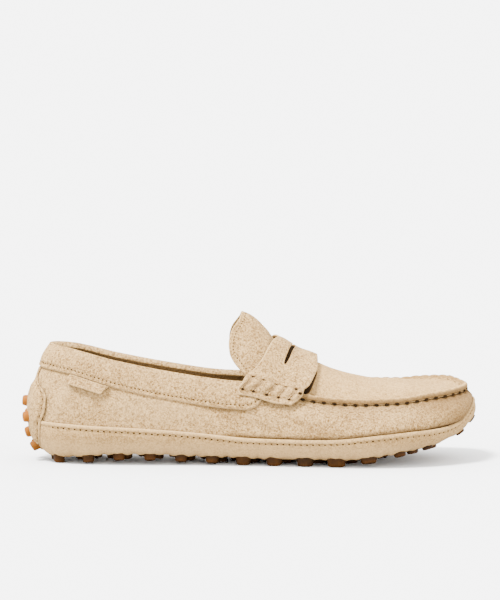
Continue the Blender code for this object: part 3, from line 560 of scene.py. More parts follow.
# drops points that coincide, and the faces that lose their area with them
def weld(verts, faces, tone, near):
    keys = np.round(np.asarray(verts) / near).astype(np.int64)
    _, first, back = np.unique(keys, axis=0, return_index=True, return_inverse=True)
    back = back.reshape(-1)
    kept = []
    for face in back[np.asarray(faces)]:
        ring = [int(face[k]) for k in range(len(face)) if face[k] != face[k - 1]]
        if len(set(ring)) >= 3 and len(set(ring)) == len(ring):
            kept.append(ring)
    return np.asarray(verts)[first], kept, np.asarray(tone)[first]


# a closed skin around the loop: each row of points is one closed section
def skin(name, points, finish, tone):
    rows, cols = points.shape[:2]
    return addWelded(name, points.reshape(-1, 3), gridFaces(rows, cols, True, True), finish, tone.reshape(-1))


def addWelded(name, verts, faces, finish, tone, near=2e-6):
    verts, faces, tone = weld(verts, faces, tone, near)
    return addMesh(name, verts, faces, finish, tone)


slabEdge = {"reliefFrom": 0.002, "bare": 0.22, "bareWidth": 0.0011, "deepTone": 0.40}


# a slab from a grid of its outer face, with soft rounded edges all round. a slit, where there
# is one, opens along a column by half its width on each row
def slab(name, outer, thickness, finish, relief=0.0, tone=None, edge=None, slit=None):
    gu = np.gradient(outer, axis=0)
    gv = np.gradient(outer, axis=1)
    normal = unit(np.cross(gu, gv))
    runs = borderRuns(outer)
    radius = thickness / 2 if edge is None else edge
    near = np.clip(runs / radius, 0, 1)
    drop = radius * (1 - np.sqrt(np.maximum(1 - np.square(1 - near), 0)))
    top = outer + normal * (relief * smooth(runs / slabEdge["reliefFrom"]) - drop)[..., None]
    under = outer - normal * (thickness - drop * (thickness - radius) / radius)[..., None]
    under[runs < 1e-9] = top[runs < 1e-9]
    tone = np.full(runs.shape, 0.5) if tone is None else tone
    tone = tone + slabEdge["bare"] * (1 - smooth(runs / slabEdge["bareWidth"]))
    layers = [top, under, np.repeat(tone[..., None], 3, axis=-1)]
    slitRows = np.zeros(len(outer), bool)
    if slit:
        column, half = slit
        layers = opened(layers, unit(gv), column, half)
        slitRows = half > 0
    rows, cols = layers[0].shape[:2]
    cells = gridFaces(rows, cols).reshape(rows - 1, cols - 1, 4)
    kept = np.ones((rows - 1, cols - 1), bool)
    walls = []
    for i in np.flatnonzero(slitRows[:-1] | slitRows[1:]):
        kept[i, column] = False
        a, b = i * cols + column, (i + 1) * cols + column
        deep = rows * cols
        walls += [[a, b, b + deep, a + deep], [b + 1, a + 1, a + 1 + deep, b + 1 + deep]]
    walls = np.array(walls, int).reshape(-1, 4)
    faces = np.concatenate([cells[kept], cells[kept][:, ::-1] + rows * cols, walls])
    verts = np.concatenate([layers[0].reshape(-1, 3), layers[1].reshape(-1, 3)])
    # the underside carries painted shade, deeper along a slit
    deepTone = np.full((rows, cols), slabEdge["deepTone"])
    if slit:
        deepTone -= 0.9 * bell((np.arange(cols) - column) / 6)
    tones = np.concatenate([layers[2][..., 0].reshape(-1), deepTone.reshape(-1)])
    return addWelded(name, verts, faces, finish, tones), top, normal


# the same layers with a column doubled and drawn apart, less and less away from it
def opened(layers, way, column, half, fade=0.005):
    steps = np.linalg.norm(np.diff(layers[0], axis=1), axis=-1).mean(axis=0)
    places = np.append(0, np.cumsum(steps))
    places = places - places[column]
    doubled = [np.concatenate([part[:, :column + 1], part[:, column:]], axis=1) for part in [*layers, way]]
    reach = np.concatenate([-np.exp(places[:column + 1] / fade), np.exp(-places[column:] / fade)])
    shift = doubled[3] * (half[:, None] * reach[None, :])[..., None]
    return [doubled[0] + shift, doubled[1] + shift, doubled[2]]


# each point's distance from the nearest side of its grid
def borderRuns(points):
    down = np.linalg.norm(np.diff(points, axis=0), axis=-1)
    across = np.linalg.norm(np.diff(points, axis=1), axis=-1)
    a = np.vstack([np.zeros(points.shape[1]), np.cumsum(down, axis=0)])
    b = np.hstack([np.zeros((points.shape[0], 1)), np.cumsum(across, axis=1)])
    return np.minimum(np.minimum(a, a[-1] - a), np.minimum(b, b[:, -1:] - b))


# parameters from 0 to 1 with a few close to each end, so that edges can round
def edged(count, length, thickness):
    tight = np.array([0, 0.04, 0.15, 0.35, 0.65, 1.0]) * thickness / length
    return np.concatenate([tight, np.linspace(tight[-1], 1 - tight[-1], count)[1:-1], (1 - tight)[::-1]])


print("stitches")


# places at an even pitch along a path of points, with the way along and the way out
def spaced(path, outward, pitch, start=0.0):
    runs = runsOf(path)
    marks = start + pitch * np.arange(int((runs[-1] - start) / pitch) + 1)
    marks = marks[marks <= runs[-1]]
    at = np.stack([np.interp(marks, runs, path[:, k]) for k in range(3)], axis=-1)
    out = unit(np.stack([np.interp(marks, runs, outward[:, k]) for k in range(3)], axis=-1))
    way = unit(np.gradient(at, axis=0))
    return at, way, out


# one thread from a to b, bowed out by rise, its ends sunk in
def strand(a, b, out, radius, rise, sides=6, steps=6):
    ring = np.linspace(0, 2 * math.pi, sides, endpoint=False)
    way = unit(b - a)
    across = unit(np.cross(way, out))
    verts = []
    for i in range(steps + 1):
        t = i / steps
        middle = a + (b - a) * t + out * (rise * math.sin(math.pi * t) ** 0.6 - radius)
        size = radius * (0.55 + 0.45 * math.sin(math.pi * t) ** 0.4)
        verts += [middle + size * (math.cos(r) * across + math.sin(r) * out) for r in ring]
    faces = [list(f) for f in gridFaces(steps + 1, sides, False, True)]
    faces += [list(range(sides))[::-1], [steps * sides + k for k in range(sides)]]
    return verts, faces


# one needle hole: a shallow dimple lying on the suede, dark with painted shade
def dimple(at, way, out, long, wide, sides=10):
    across = unit(np.cross(out, way))
    verts = []
    for size, sink in ((1.0, -0.00022), (0.92, 0.00010), (0.55, 0.00008), (0.2, 0.00002)):
        for k in range(sides):
            r = 2 * math.pi * k / sides
            spot = way * long * math.cos(r) + across * wide * math.sin(r)
            verts.append(at + size * spot + out * sink)
    verts.append(at + out * 0.00001)
    verts.append(at - out * 0.0003)
    faces = [list(f) for f in gridFaces(4, sides, False, True)]
    faces += [[3 * sides + k, 3 * sides + (k + 1) % sides, 4 * sides] for k in range(sides)]
    faces += [[(k + 1) % sides, k, 4 * sides + 1] for k in range(sides)]
    return verts, faces


# many small forms as one piece
def gather(name, parts, finish):
    verts, faces = [], []
    for partVerts, partFaces in parts:
        faces += [[k + len(verts) for k in face] for face in partFaces]
        verts += list(partVerts)
    return wear(addMesh(name, verts, faces, finish), "sand_suede")


def surfaceOf(obj):
    mesh = obj.data
    spots = np.empty(len(mesh.vertices) * 3)
    mesh.vertices.foreach_get("co", spots)
    return BVHTree.FromPolygons(spots.reshape(-1, 3).tolist(), [p.vertices[:] for p in mesh.polygons])


# moves places onto a finished piece's outside, along their ways out
def settle(surface, at, out, reach=0.0045):
    placed, ways = np.array(at, float), np.array(out, float)
    for i in range(len(placed)):
        hit, normal, _, _ = surface.ray_cast(Vector(placed[i] + ways[i] * reach), Vector(-ways[i]), 2 * reach)
        if hit:
            placed[i] = hit
            ways[i] = unit(np.array(normal) + ways[i])
    return placed, ways


# a row of machine stitches: threads between needle holes, laid on a finished piece
def stitchRow(name, surface, path, outward, pitch, size):
    at, way, out = spaced(path, outward, pitch)
    at, out = settle(surface, at, out)
    holes = [dimple(at[i], way[i], out[i], size * 1.15, size) for i in range(len(at))]
    threads = []
    for i in range(len(at) - 1):
        a = at[i] + way[i] * size * 1.2
        b = at[i + 1] - way[i + 1] * size * 1.2
        threads.append(strand(a, b, unit(out[i] + out[i + 1]), size * 0.31, size * 0.5))
    gather(name + "Thread", threads, thread)
    gather(name + "Holes", holes, hole)


# every finished piece goes on the root body and hides the nodes that it replaces; its slot name is not used
def wear(obj, slotName, *nodes):
    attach(obj, "root")
    if nodes:
        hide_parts(*nodes)
    return obj


print("nubs")
nub = {
    "height": 0.0045,
    "heelHeight": 0.0037,
    "root": 0.0037,
    "tip": 0.0031,
    "pitch": 0.0198,
    "rowGap": 0.0112,
    "edgeInset": 0.0120,
    "first": 0.0155,
    "heelInset": 0.0150,
    "sideRow": 0.52,
    "toeSites": [  # u and w of the nub at the tip and of the low pairs behind it
        (0.5, 1.76), (0.475, 1.60), (0.525, 1.60), (0.435, 1.35), (0.565, 1.35), (0.404, 1.20), (0.596, 1.20),
    ],
    "seat": 0.0016,
    "sides": 28,
}
nubShape = columns("share stretch height", [
    (0.00, 1.00, 1.00), (0.30, 1.08, 1.00), (0.48, 1.28, 1.00), (0.60, 1.48, 1.00), (0.69, 1.66, 1.00),
    (0.76, 1.38, 0.92), (0.83, 1.12, 0.72), (0.90, 0.96, 0.56), (0.96, 0.92, 0.42), (1.00, 0.92, 0.42),
])
nubAt = curvesOf(nubShape)
# the heel nubs: height as a share of the collar's, and how far aside
heelNubs = [(0.465, 0.0), (0.335, 0.0078), (0.335, -0.0078), (0.190, 0.0), (0.088, 0.0070), (0.088, -0.0070)]


# where a nub stands, the way it points, its height and its stretch. one near the ground points down
def nubSite(u, w):
    u, w = float(u), float(w)
    point, way = wallPoint(u, w, layer["gap"] + layer["wrap"]), wallNormal(u, w)
    share = float(shareAt(point[0]))
    height, stretch = nub["height"] * float(nubAt["height"](share)), float(nubAt["stretch"](share))
    if (point + way * nub["height"])[2] < nub["height"] / 6:
        return point, np.array([0.0, 0.0, -1.0]), point[2], stretch
    return point, way, height, stretch


# whether a nub keeps clear of the others, allowing for its stretch
def apart(site, others):
    for other in others:
        gap = site[0] - other[0]
        gap[0] /= site[3]
        if np.linalg.norm(gap) < nub["rowGap"]:
            return False
    return True


# a row round the edge, the heel's nub, a middle row, two side rows between, and the toe's nubs
def soleSites():
    marks = np.linspace(0, 0.5, 241)
    inset = nub["edgeInset"]
    runs = runsOf(barePoint(marks, wAtInset(marks, inset)))
    count = max(round((runs[-1] - nub["first"]) / nub["pitch"]), 1)
    sites = [nubSite(0.5, wAtInset(0.5, inset))]
    for i in range(count - 1):
        u = float(np.interp(nub["first"] + (runs[-1] - nub["first"]) * i / count, runs, marks))
        sites += [nubSite(v, wAtInset(v, inset)) for v in (u, 1 - u)]
    sites.append(nubSite(0.0, wAtInset(0.0, nub["heelInset"])))
    half, sideRow = -nub["pitch"] / 2, nub["sideRow"]
    for first, side, w in ((0.0, "lateral", 0.0), (half, "lateral", sideRow), (half, "medial", sideRow)):
        for i in range(int((last["length"] - last["heelSeat"] - first) / nub["pitch"])):
            site = nubSite(loopPlace(shareAt(first + i * nub["pitch"]), side), w)
            if apart(site, sites):
                sites.append(site)
    return sites + [nubSite(u, w) for u, w in nub["toeSites"]]


# one nub turned from a profile, with a soft rim and a slightly hollow face
def nubMesh(site, seed):
    point, way, height, stretch = site
    forward = np.array([1.0, 0, 0]) if abs(way[0]) < abs(way[2]) else np.array([0, 0, 1.0])
    forward = unit(forward - way * float(forward @ way))
    across = np.cross(way, forward)
    root, tip, seat, sides = nub["root"], nub["tip"], nub["seat"], nub["sides"]
    profile = [
        (root * 1.05, -seat), (root, 0.0), (root * 0.97, 0.16 * height), (root * 0.93, 0.40 * height),
        (tip * 1.04, height * 0.76), (tip * 0.97, height * 0.87), (tip * 0.86, height - 0.0002),
        (tip * 0.68, height - 0.00002), (tip * 0.60, height - 0.00010), (tip * 0.30, height - 0.00022),
    ]
    rng = np.random.default_rng(seed)
    turn = np.linspace(0, 2 * math.pi, sides, endpoint=False) + rng.uniform(0, 1)
    # only the heel's nubs, which face the light, are bright
    lit = 0.02 + 0.82 * smooth((way[2] + 0.90) / 0.75) * smooth(-way[0] / 0.4) + rng.uniform(-0.02, 0.04)
    verts, tone = [], []
    for radius, up in profile:
        worn = 0.07 * smooth((radius - tip * 0.75) / 0.0006) * smooth((up - height * 0.55) / 0.001)
        for r in turn:
            uneven = 1 + 0.02 * math.sin(2 * r + seed)
            flat = stretch * math.cos(r) * forward + math.sin(r) * across
            verts.append(point + way * up + uneven * radius * flat)
            tone.append(lit + worn)
    verts += [point + way * (height - 0.00024), point - way * seat]
    tone += [lit, lit]
    faces = [list(f) for f in gridFaces(len(profile), sides, False, True)]
    top = (len(profile) - 1) * sides
    faces += [[top + k, top + (k + 1) % sides, len(profile) * sides] for k in range(sides)]
    faces += [[(k + 1) % sides, k, len(profile) * sides + 1] for k in range(sides)]
    return verts, [f[::-1] for f in faces], tone


def nubPiece(name, sites):
    verts, faces, tone = [], [], []
    for seed, site in enumerate(sites):
        v, f, t = nubMesh(site, seed)
        faces += [[k + len(verts) for k in face] for face in f]
        verts += v
        tone += t
    return addMesh(name, verts, faces, gum, tone)


tab = {
    "reach": 0.0262,
    "height": [0.030, 0.095, 0.195, 0.300, 0.415, 0.530, 0.610, 0.665, 0.725, 0.790],
    "width": [0.42, 0.55, 0.74, 0.84, 0.98, 0.99, 0.82, 0.50, 0.27, 0.36],
    "stand": 0.0010,
    "tuckDepth": 0.0009,
    "seam": 0.0022,
    "seamDepth": 0.00040,
    "holePitch": 0.0056,
    "hole": (0.00085, 0.00065),
    "thread": 0.00030,
    "whip": 0.0026,
}
tabReachAt = curveOf(tab["height"], tab["width"])


# how far the heel tab stands off the upper: bowed in the middle, tucked down toward its strip
def tabOff(u, share):
    along = np.minimum(np.mod(u, 1.0), 1 - np.mod(u, 1.0)) * loopLength
    fromEdge = tab["reach"] * tabReachAt(share) - along
    inside = smooth((share - 0.02) / 0.07) * smooth((0.70 - share) / 0.12)
    inside = inside * smooth((fromEdge - 0.0005) / 0.006)
    tucked = tab["tuckDepth"] * smooth((share - 0.60) / 0.08)
    return 1.8 * layer["gap"] + tab["stand"] * inside - tucked


soleNubSites = soleSites()
heelNubSites = []
for share, aside in heelNubs:
    u = float(-aside / loopLength % 1.0)
    w = float(wAtHeight(u, share * last["collarHeight"]))
    off = float(tabOff(u, share)) + layer["overlay"]
    heelNubSites.append((wallPoint(u, w, off), wallNormal(u, w), nub["heelHeight"], 1.0))
wear(nubPiece("soleNubs", soleNubSites), "gum_rubber", "rubber_sole", "toe_nub")
wear(nubPiece("heelTabNubs", heelNubSites), "gum_rubber", "heel_nubs")


# the suede is pushed up a little round each nub
def nubSwell(points, sites, reach=0.0034, rise=0.0007):
    total = np.zeros(points.shape[:-1])
    for at, way, _, stretch in sites:
        gap = points - at
        gap[..., 0] /= stretch
        along = gap @ way
        aside = np.sqrt(np.maximum(np.sum(gap * gap, axis=-1) - along * along, 0))
        near = smooth((0.012 - np.abs(along)) / 0.006)
        total = np.maximum(total, near * rise * bell((aside - nub["root"] - 0.0006) / reach))
    return total


band = {
    "width": 0.0155,
    "turnIn": 0.0090,
    "roundFrom": 0.474,
    "end": 0.520,
    "stitchUp": 0.0027,
    "pitch": 0.0026,
    "stitch": 0.00052,
    "stitchSink": 0.00022,
    "groove": 0.00042,
    "pad": 0.0007,
    "crest": 0.0021,
}


# the band narrows toward the heel and rounds off at its ends
def bandWidth(us):
    share = shareOf(us)
    width = band["width"] * (0.84 + 0.16 * smooth(share / 0.28))
    end = np.clip((share - band["roundFrom"]) / (band["end"] - band["roundFrom"]), 0, 1)
    return width * (0.22 + 0.78 * np.sqrt(1 - end * end))


def bandLow(us, up=0.0):
    return wAtHeight(us, section(us)[3] - bandWidth(us) + up)


strap = {
    "stand": 0.0022,
    "soften": 0.0011,
    "lump": 0.0019,
    "edge": 0.0008,
    "slitPlace": 0.395,
    "slitHalf": 0.00125,
    "slitReach": 0.69,
    "lowPlaces": [0.08, 0.26, 0.475, 0.685, 0.88],
    "highPlaces": [0.13, 0.30, 0.49, 0.68, 0.87],
    "lowRuns": [0.0038, 0.0034, 0.0039, 0.0047, 0.0042],
    "highRuns": [0.0124, 0.0124, 0.0136, 0.0135, 0.0132],
    "loneHole": (0.0120, 0.955),
    "hole": (0.00130, 0.00085),
    "thread": 0.00036,
}

# the strap's edges as shares along the shoe, and how far its ends hang down
strapBack = curveOf([0.00, 0.25, 0.50, 0.65, 0.75, 0.85, 0.92, 1.00, 1.40, 2.00],
                    [0.556, 0.546, 0.535, 0.527, 0.520, 0.509, 0.498, 0.480, 0.466, 0.469])
strapFront = curveOf([0.00, 0.50, 0.65, 0.75, 0.85, 0.92, 1.00, 1.50, 2.00],
                     [0.638, 0.639, 0.635, 0.631, 0.626, 0.621, 0.612, 0.598, 0.583])
strapDrop = curveOf([0.0, 0.5, 1.0], [0.0072, 0.0077, 0.0066])


print("sole wrap")
wrap = {
    "stitchDrop": 0.0020,
    "pitch": 0.0037,
    "groove": 0.00050,
    "grooveWidth": 0.0009,
    "stitch": 0.00056,
    "bead": 0.00030,
    "gatherPitch": 0.0071,
    "gather": 0.00022,
}


# 0 at the heel to 1 over the front of the shoe, and the same for its tip
def inFront(u):
    return smooth((shareOf(u) - 0.40) / 0.15)


def tipAt(u):
    return smooth((shareOf(u) - 0.90) / 0.06)


def buildWrap():
    us = evenLoop(int(1000 * fine) + 1)[:-1][:, None]
    rim = wAtHeight(us, rimHeight(us))
    low = np.linspace(0, 1, int(34 * fine))[None, :]
    rise = np.linspace(0, 1, int(46 * fine))[None, 1:]
    rise = 1 - (1 - rise) ** 1.35
    ws = np.concatenate([np.broadcast_to(low, (len(us), low.shape[1])), 1 + (rim - 1) * rise], axis=1)
    base = barePoint(us, ws)
    height = base[..., 2] - last["deck"]
    below = rimHeight(us) - height
    edgeOff = layer["gap"] + layer["wrap"]
    line = bell((below - wrap["stitchDrop"]) / wrap["grooveWidth"])
    runs = np.interp(us, loopMarks, loopRuns)
    pucker = 0.65 + 0.35 * np.cos(2 * math.pi * runs / wrap["pitch"])
    sunk = -wrap["groove"] * line * pucker * (ws > 1)
    bead = wrap["bead"] * bell((below - 0.0008) / 0.0007) * (ws > 1)
    thin = -0.0008 * tipAt(us) * bell(below / 0.004) * (ws > 1)
    soft = 0.00030 * wobble(base, 0.035, 3) + 0.00010 * wobble(base, 0.012, 4)
    ripple = np.sin(2 * math.pi * runs / wrap["gatherPitch"] + 1.5 * np.sin(runs * 90))
    gathers = wrap["gather"] * ripple * bell((ws - 1.25) / 0.35)
    up = nubSwell(base, soleNubSites)
    # under the heel tab the wrap lies flat
    tabWidth = tab["reach"] * tabReachAt(np.clip(height / last["collarHeight"], 0.03, 0.79))
    behind = 1 - smooth((tabWidth + 0.0012 - np.minimum(us, 1 - us) * loopLength) / 0.0022)
    off = edgeOff + sunk + bead + soft + gathers + up + thin
    off = off * behind + 0.0002 * (1 - behind)
    outer = wallPoint(us, ws, off)
    turn = np.linspace(0, math.pi, 7)[None, 1:-1]
    half = layer["wrap"] / 2
    lipOff = layer["gap"] + half + (off[:, -1:] - edgeOff) + half * np.cos(turn)
    lip = wallPoint(us, np.minimum(rim, 2.98), lipOff)
    lip[..., 2] += half * np.sin(turn)
    inner = wallPoint(us, rim * (1 - np.linspace(0, 1, 9)[None, :]), layer["gap"] * 0.4)
    points = np.concatenate([outer, lip, inner], axis=1)
    tone = np.full(points.shape[:2], 0.5)
    count = outer.shape[1]
    # painted light and shade on the wrap's face: lighter just under its edge, painted shade along the stitch
    # groove, painted light bounced from the floor low on its side and painted shade underneath
    tone[:, :count] += 0.14 * bell((below - 0.0003) / 0.0009) * (ws > 1) - 0.10 * line * (ws > 1)
    tone[:, :count] += 0.20 * smooth((height - 0.0005) / 0.002) * smooth((0.012 - height) / 0.006)
    tone[:, :count] -= 0.10 * smooth((1.02 - ws) / 0.3)
    # the fold over its edge is lighter, less in front where painted shade falls from the upper's bulge;
    # painted shade inside
    tone[:, count:count + 5] = 0.80 - 0.22 * inFront(us)
    tone[:, count + 5:] = 0.3
    surface = surfaceOf(wear(skin("soleWrapSuede", points, wrapSuede, tone), "sand_suede", "sole_wrap"))
    for name, start, end in (("wrapLateral", 0.049, 0.499), ("wrapMedial", 0.501, 0.951)):
        path = evenLoop(900, start, end)
        w = wAtHeight(path, rimHeight(path) - wrap["stitchDrop"])
        at = wallPoint(path, w, edgeOff - wrap["groove"] * 0.55)
        stitchRow(name, surface, at, wallNormal(path, w), wrap["pitch"], wrap["stitch"])


buildWrap()

print("upper")
upper = {"swell": 0.0013, "puckerPitch": 0.0065, "pucker": 0.00075, "insideShade": -0.10}
# soft creases: each one's middle, how far it reaches along and up, its slant and its depth
creases = columns("share height long wide slant depth", [
    (0.60, 0.022, 0.016, 0.0035, -0.6, -0.00075), (0.66, 0.024, 0.020, 0.0045, -0.3, 0.00055),
    (0.78, 0.020, 0.024, 0.0050, 0.15, 0.00070), (0.90, 0.022, 0.016, 0.0040, 0.5, 0.00055),
    (0.43, 0.030, 0.024, 0.0060, -0.4, -0.00065), (0.30, 0.033, 0.026, 0.0060, -0.3, 0.00060),
    (0.16, 0.030, 0.012, 0.0080, 1.2, -0.00055), (0.08, 0.038, 0.010, 0.0060, 1.4, 0.00050),
    (0.53, 0.018, 0.010, 0.0016, -0.25, -0.00045), (0.55, 0.022, 0.009, 0.0014, -0.35, -0.00040),
    (0.50, 0.021, 0.008, 0.0015, -0.15, -0.00035), (0.72, 0.018, 0.006, 0.0018, -1.1, -0.00035),
    (0.22, 0.030, 0.030, 0.0028, -0.32, 0.00045), (0.10, 0.020, 0.014, 0.0030, 0.2, -0.00040),
])


# the upper is a little fuller in front, between the wrap and its top edge
def swellAt(us, height):
    above = smooth((height - rimHeight(us)) / 0.0030)
    belowTop = smooth((section(us)[3] - height) / 0.0110)
    return upper["swell"] * inFront(us) * above * belowTop * (1 + 0.5 * tipAt(us))


def creaseAt(base):
    share = shareAt(base[..., 0])
    height = base[..., 2] - last["deck"]
    total = np.zeros(share.shape)
    for i in range(len(creases["share"])):
        x = (share - creases["share"][i]) * last["length"]
        z = height - creases["height"][i] - creases["slant"][i] * x
        total += creases["depth"][i] * bell(x / creases["long"][i]) * bell(z / creases["wide"][i])
    return total


# painted light and shade on the creases: ridges lighter and troughs darker
def creaseLightAndShade(base):
    return np.clip(creaseAt(base) / 0.0006, -1, 1)


# the length run along the upper's top edge, from the toe
def seamRun(us):
    marks = np.linspace(0, 1, 4001)
    runs = runsOf(barePoint(marks, 3.0))
    return np.interp(us, marks, runs) - np.interp(0.5, marks, runs)


def buildUpper():
    us = evenLoop(int(1060 * fine) + 1)[:-1][:, None]
    foot = np.maximum(wAtHeight(us, rimHeight(us) - 0.008), 1.05)
    t = np.linspace(0, 1, int(56 * fine))[None, :]
    t = smooth(t) * 0.5 + t * 0.5
    ws = foot + (3 - foot) * t
    base = barePoint(us, ws)
    height = base[..., 2] - last["deck"]
    top = section(us)[3]
    share = shareOf(us)
    seam = smooth((share - 0.585) / 0.03)
    run = seamRun(us)
    wave = np.cos(2 * math.pi * run / upper["puckerPitch"])
    fromTop = top - height
    pucker = -upper["pucker"] * (0.35 + 0.65 * wave) * np.exp(-fromTop / 0.0032)
    pucker += 0.00022 * wave * bell((fromTop - 0.006) / 0.004)
    rimDip = -0.0005 * inFront(us) * bell((height - rimHeight(us) - 0.0003) / 0.0013)
    soft = 0.00035 * wobble(base, 0.040, 11) + 0.00012 * wobble(base, 0.014, 12)
    calm = smooth(fromTop / 0.004)
    off = swellAt(us, height) * 1.1 + seam * pucker + rimDip + (soft + creaseAt(base)) * calm
    outer = wallPoint(us, ws, off)
    inner = wallPoint(us, 3 + (foot - 3) * np.linspace(0, 1, int(22 * fine))[None, :], -layer["upper"])
    points = np.concatenate([outer, inner], axis=1)
    tone = np.full(points.shape[:2], 0.5)
    n = outer.shape[1]
    front = inFront(us)
    # painted shade along the wrap's edge, broader in front, and under the apron's lip at the top edge; a
    # painted highlight a little above the wrap in front and painted light and shade on the creases
    tone[:, :n] -= (0.06 + 0.34 * front) * bell((height - rimHeight(us)) / 0.0011)
    tone[:, :n] -= 0.11 * front * bell((height - rimHeight(us)) / 0.0060)
    tone[:, :n] -= 0.24 * seam * np.exp(-fromTop / 0.0016)
    tone[:, :n] += 0.06 * front * bell((height - rimHeight(us) - 0.004) / 0.003) + 0.10 * creaseLightAndShade(base)
    # painted shadow just below the collar band's lower edge
    toBand = height - (top - bandWidth(us))
    tone[:, :n] -= 0.22 * smooth((toBand + 0.0016) / 0.0014) * smooth((band["end"] - share) / 0.01)
    # painted shade toward the toe, which faces away from the light, and painted light on the heel
    tone[:, :n] -= 0.13 * smooth((share - 0.56) / 0.12) + 0.22 * smooth((share - 0.84) / 0.12)
    tone[:, :n] += 0.05 * (1 - smooth((share - 0.25) / 0.2))
    # painted shade on the inside
    tone[:, n:] = upper["insideShade"]
    wear(skin("upperSuede", points, sandSuede, tone), "sand_suede", "upper")


buildUpper()

print("insole")
insole = {"inset": 0.0085, "toeInset": 0.010, "thickness": 0.0025, "edgeDrop": 0.0012}


def buildInsole():
    us = evenLoop(int(420 * fine) + 1)[:-1][:, None]
    inset = insole["inset"] + insole["toeInset"] * smooth((shareOf(us) - 0.85) / 0.15)
    edge = wAtInset(us, inset)
    base = -(layer["upper"] + layer["gap"])
    t = np.linspace(0, 1, int(26 * fine))[None, :]
    ws = edge * t
    soft = 0.00035 * wobble(barePoint(us, ws), 0.03, 21) * smooth((1 - t) / 0.1)
    edgeDrop = insole["edgeDrop"] * smooth((t - 0.93) / 0.07)
    above = wallPoint(us, ws, base - insole["thickness"] + soft + edgeDrop)
    below = wallPoint(us, edge * (1 - np.linspace(0, 1, 6)[None, :]), base)
    points = np.concatenate([above, below], axis=1)[:, ::-1]
    tone = np.full(points.shape[:2], 0.5)
    wear(skin("footbed", points, shadedFootbedSuede, tone), "footbed_suede", "insole")


buildInsole()

print("collar band")


def buildCollarBand():
    front = float(loopPlace(band["end"], "lateral"))
    t = np.linspace(-1, 1, int(760 * fine))
    t = np.sign(t) * (1 - (1 - np.abs(t)) ** 1.12)
    us = (t * front)[:, None]
    low = bandLow(us)
    top = section(us)[3]
    s = np.linspace(0, 1, int(40 * fine))[None, :]
    ws = low + (3 - low) * s
    base = barePoint(us, ws)
    fromLow = base[..., 2] - last["deck"] - (top - bandWidth(us))
    fromTop = top - (base[..., 2] - last["deck"])
    runs = seamRun(np.mod(us, 1.0))
    line = bell((fromLow - band["stitchUp"]) / 0.0008)
    rounded = 1 - np.square(1 - np.clip(fromLow / 0.0009, 0, 1))
    edgeLift = 1.15 * layer["overlay"] * np.sqrt(np.clip(rounded, 0, 1))
    soft = 0.00025 * wobble(base, 0.030, 31)
    pad = band["pad"] * bell((fromLow - 0.55 * bandWidth(us)) / (0.38 * bandWidth(us)))
    sunk = -band["groove"] * line * (0.7 + 0.3 * np.cos(2 * math.pi * runs / band["pitch"]))
    swell = swellAt(us, base[..., 2] - last["deck"])
    off = layer["gap"] + edgeLift + (pad + soft) * smooth(fromLow / 0.004) + sunk + swell
    outer = wallPoint(us, ws, off)
    # over the top edge in a soft roll, then down inside
    turn = np.linspace(0, math.pi, int(14 * fine) + 3)[None, 1:-1]
    outReach = layer["gap"] + layer["overlay"]
    inReach = layer["upper"] + 2 * layer["gap"] + layer["overlay"]
    middle, radius = (outReach - inReach) / 2, (outReach + inReach) / 2
    crest = wallPoint(us, 3.0, middle + radius * np.cos(turn))
    crest[..., 2] += band["crest"] * np.sin(turn)
    turnW = wAtHeight(us, top - band["turnIn"])
    inner = wallPoint(us, 3 + (turnW - 3) * np.linspace(0, 1, int(14 * fine))[None, :], -inReach)
    back = wallPoint(us, turnW, -(layer["upper"] + 1.2 * layer["gap"]))
    under = wallPoint(us, low, np.full(us.shape, layer["gap"] * 0.5))
    points = np.concatenate([outer, crest, inner, back, under], axis=1)
    tone = np.full(points.shape[:2], 0.5)
    n = outer.shape[1]
    # painted shade along the stitch groove, a lighter lower edge and a painted highlight toward the rolled
    # top
    tone[:, :n] += -0.10 * line + 0.22 * (1 - smooth(fromLow / 0.0012)) + 0.10 * np.exp(-fromTop / 0.002)
    # painted shade down the inside
    tone[:, n + crest.shape[1]:] = 0.05
    rows, cols = points.shape[:2]
    faces = [list(f) for f in gridFaces(rows, cols, False, True)]
    faces += [list(range(cols))[::-1], [(rows - 1) * cols + k for k in range(cols)]]
    made = addMesh("collarBandSuede", points.reshape(-1, 3), faces, sandSuede, tone.reshape(-1))
    wear(made, "sand_suede", "collar_band")
    path = np.linspace(-front * 0.992, front * 0.992, 1600)
    w = bandLow(path, band["stitchUp"])
    swell = swellAt(path, section(path)[3] - bandWidth(path))
    at = wallPoint(path, w, layer["gap"] + layer["overlay"] - band["stitchSink"] + swell)
    stitchRow("collarBand", surfaceOf(made), at, wallNormal(path, w), band["pitch"], band["stitch"])


buildCollarBand()

print("tongue and apron")
tongue = {
    "free": 0.530,
    "front": 0.596,
    "tuckNarrows": 0.14,
    "stitchIn": 0.0028,
    "pitch": 0.0021,
    "stitch": 0.00040,
    "shadeFrom": 0.1256,  # what shows through the strap's slit lies in its shade from this x on
}
tongueEdge = curveOf(
    [0.00, 0.30, 0.47, 0.62, 0.74, 0.82, 0.88, 0.93, 1.00],
    [0.475, 0.471, 0.462, 0.450, 0.445, 0.447, 0.456, 0.471, 0.498],
)
rim = {
    "height": 0.0036,
    "width": 0.0030,
    "back": 0.566,
    "stitchFrom": 0.598,
    "holePitch": 0.0065,
    "hole": (0.00125, 0.00075),
    "innerHole": (0.00120, 0.00055),
    "thread": 0.00026,
    "lean": 0.55,
}


# where the face over the instep meets the seam's ridge on one side
def faceEdge(share, side):
    u = loopPlace(share, side)
    inward = section(u)[1]
    edge = barePoint(u, 3.0)
    edge[..., :2] += inward * 0.95 * rim["width"]
    edge[..., 2] += layer["gap"] + layer["apron"]
    return edge


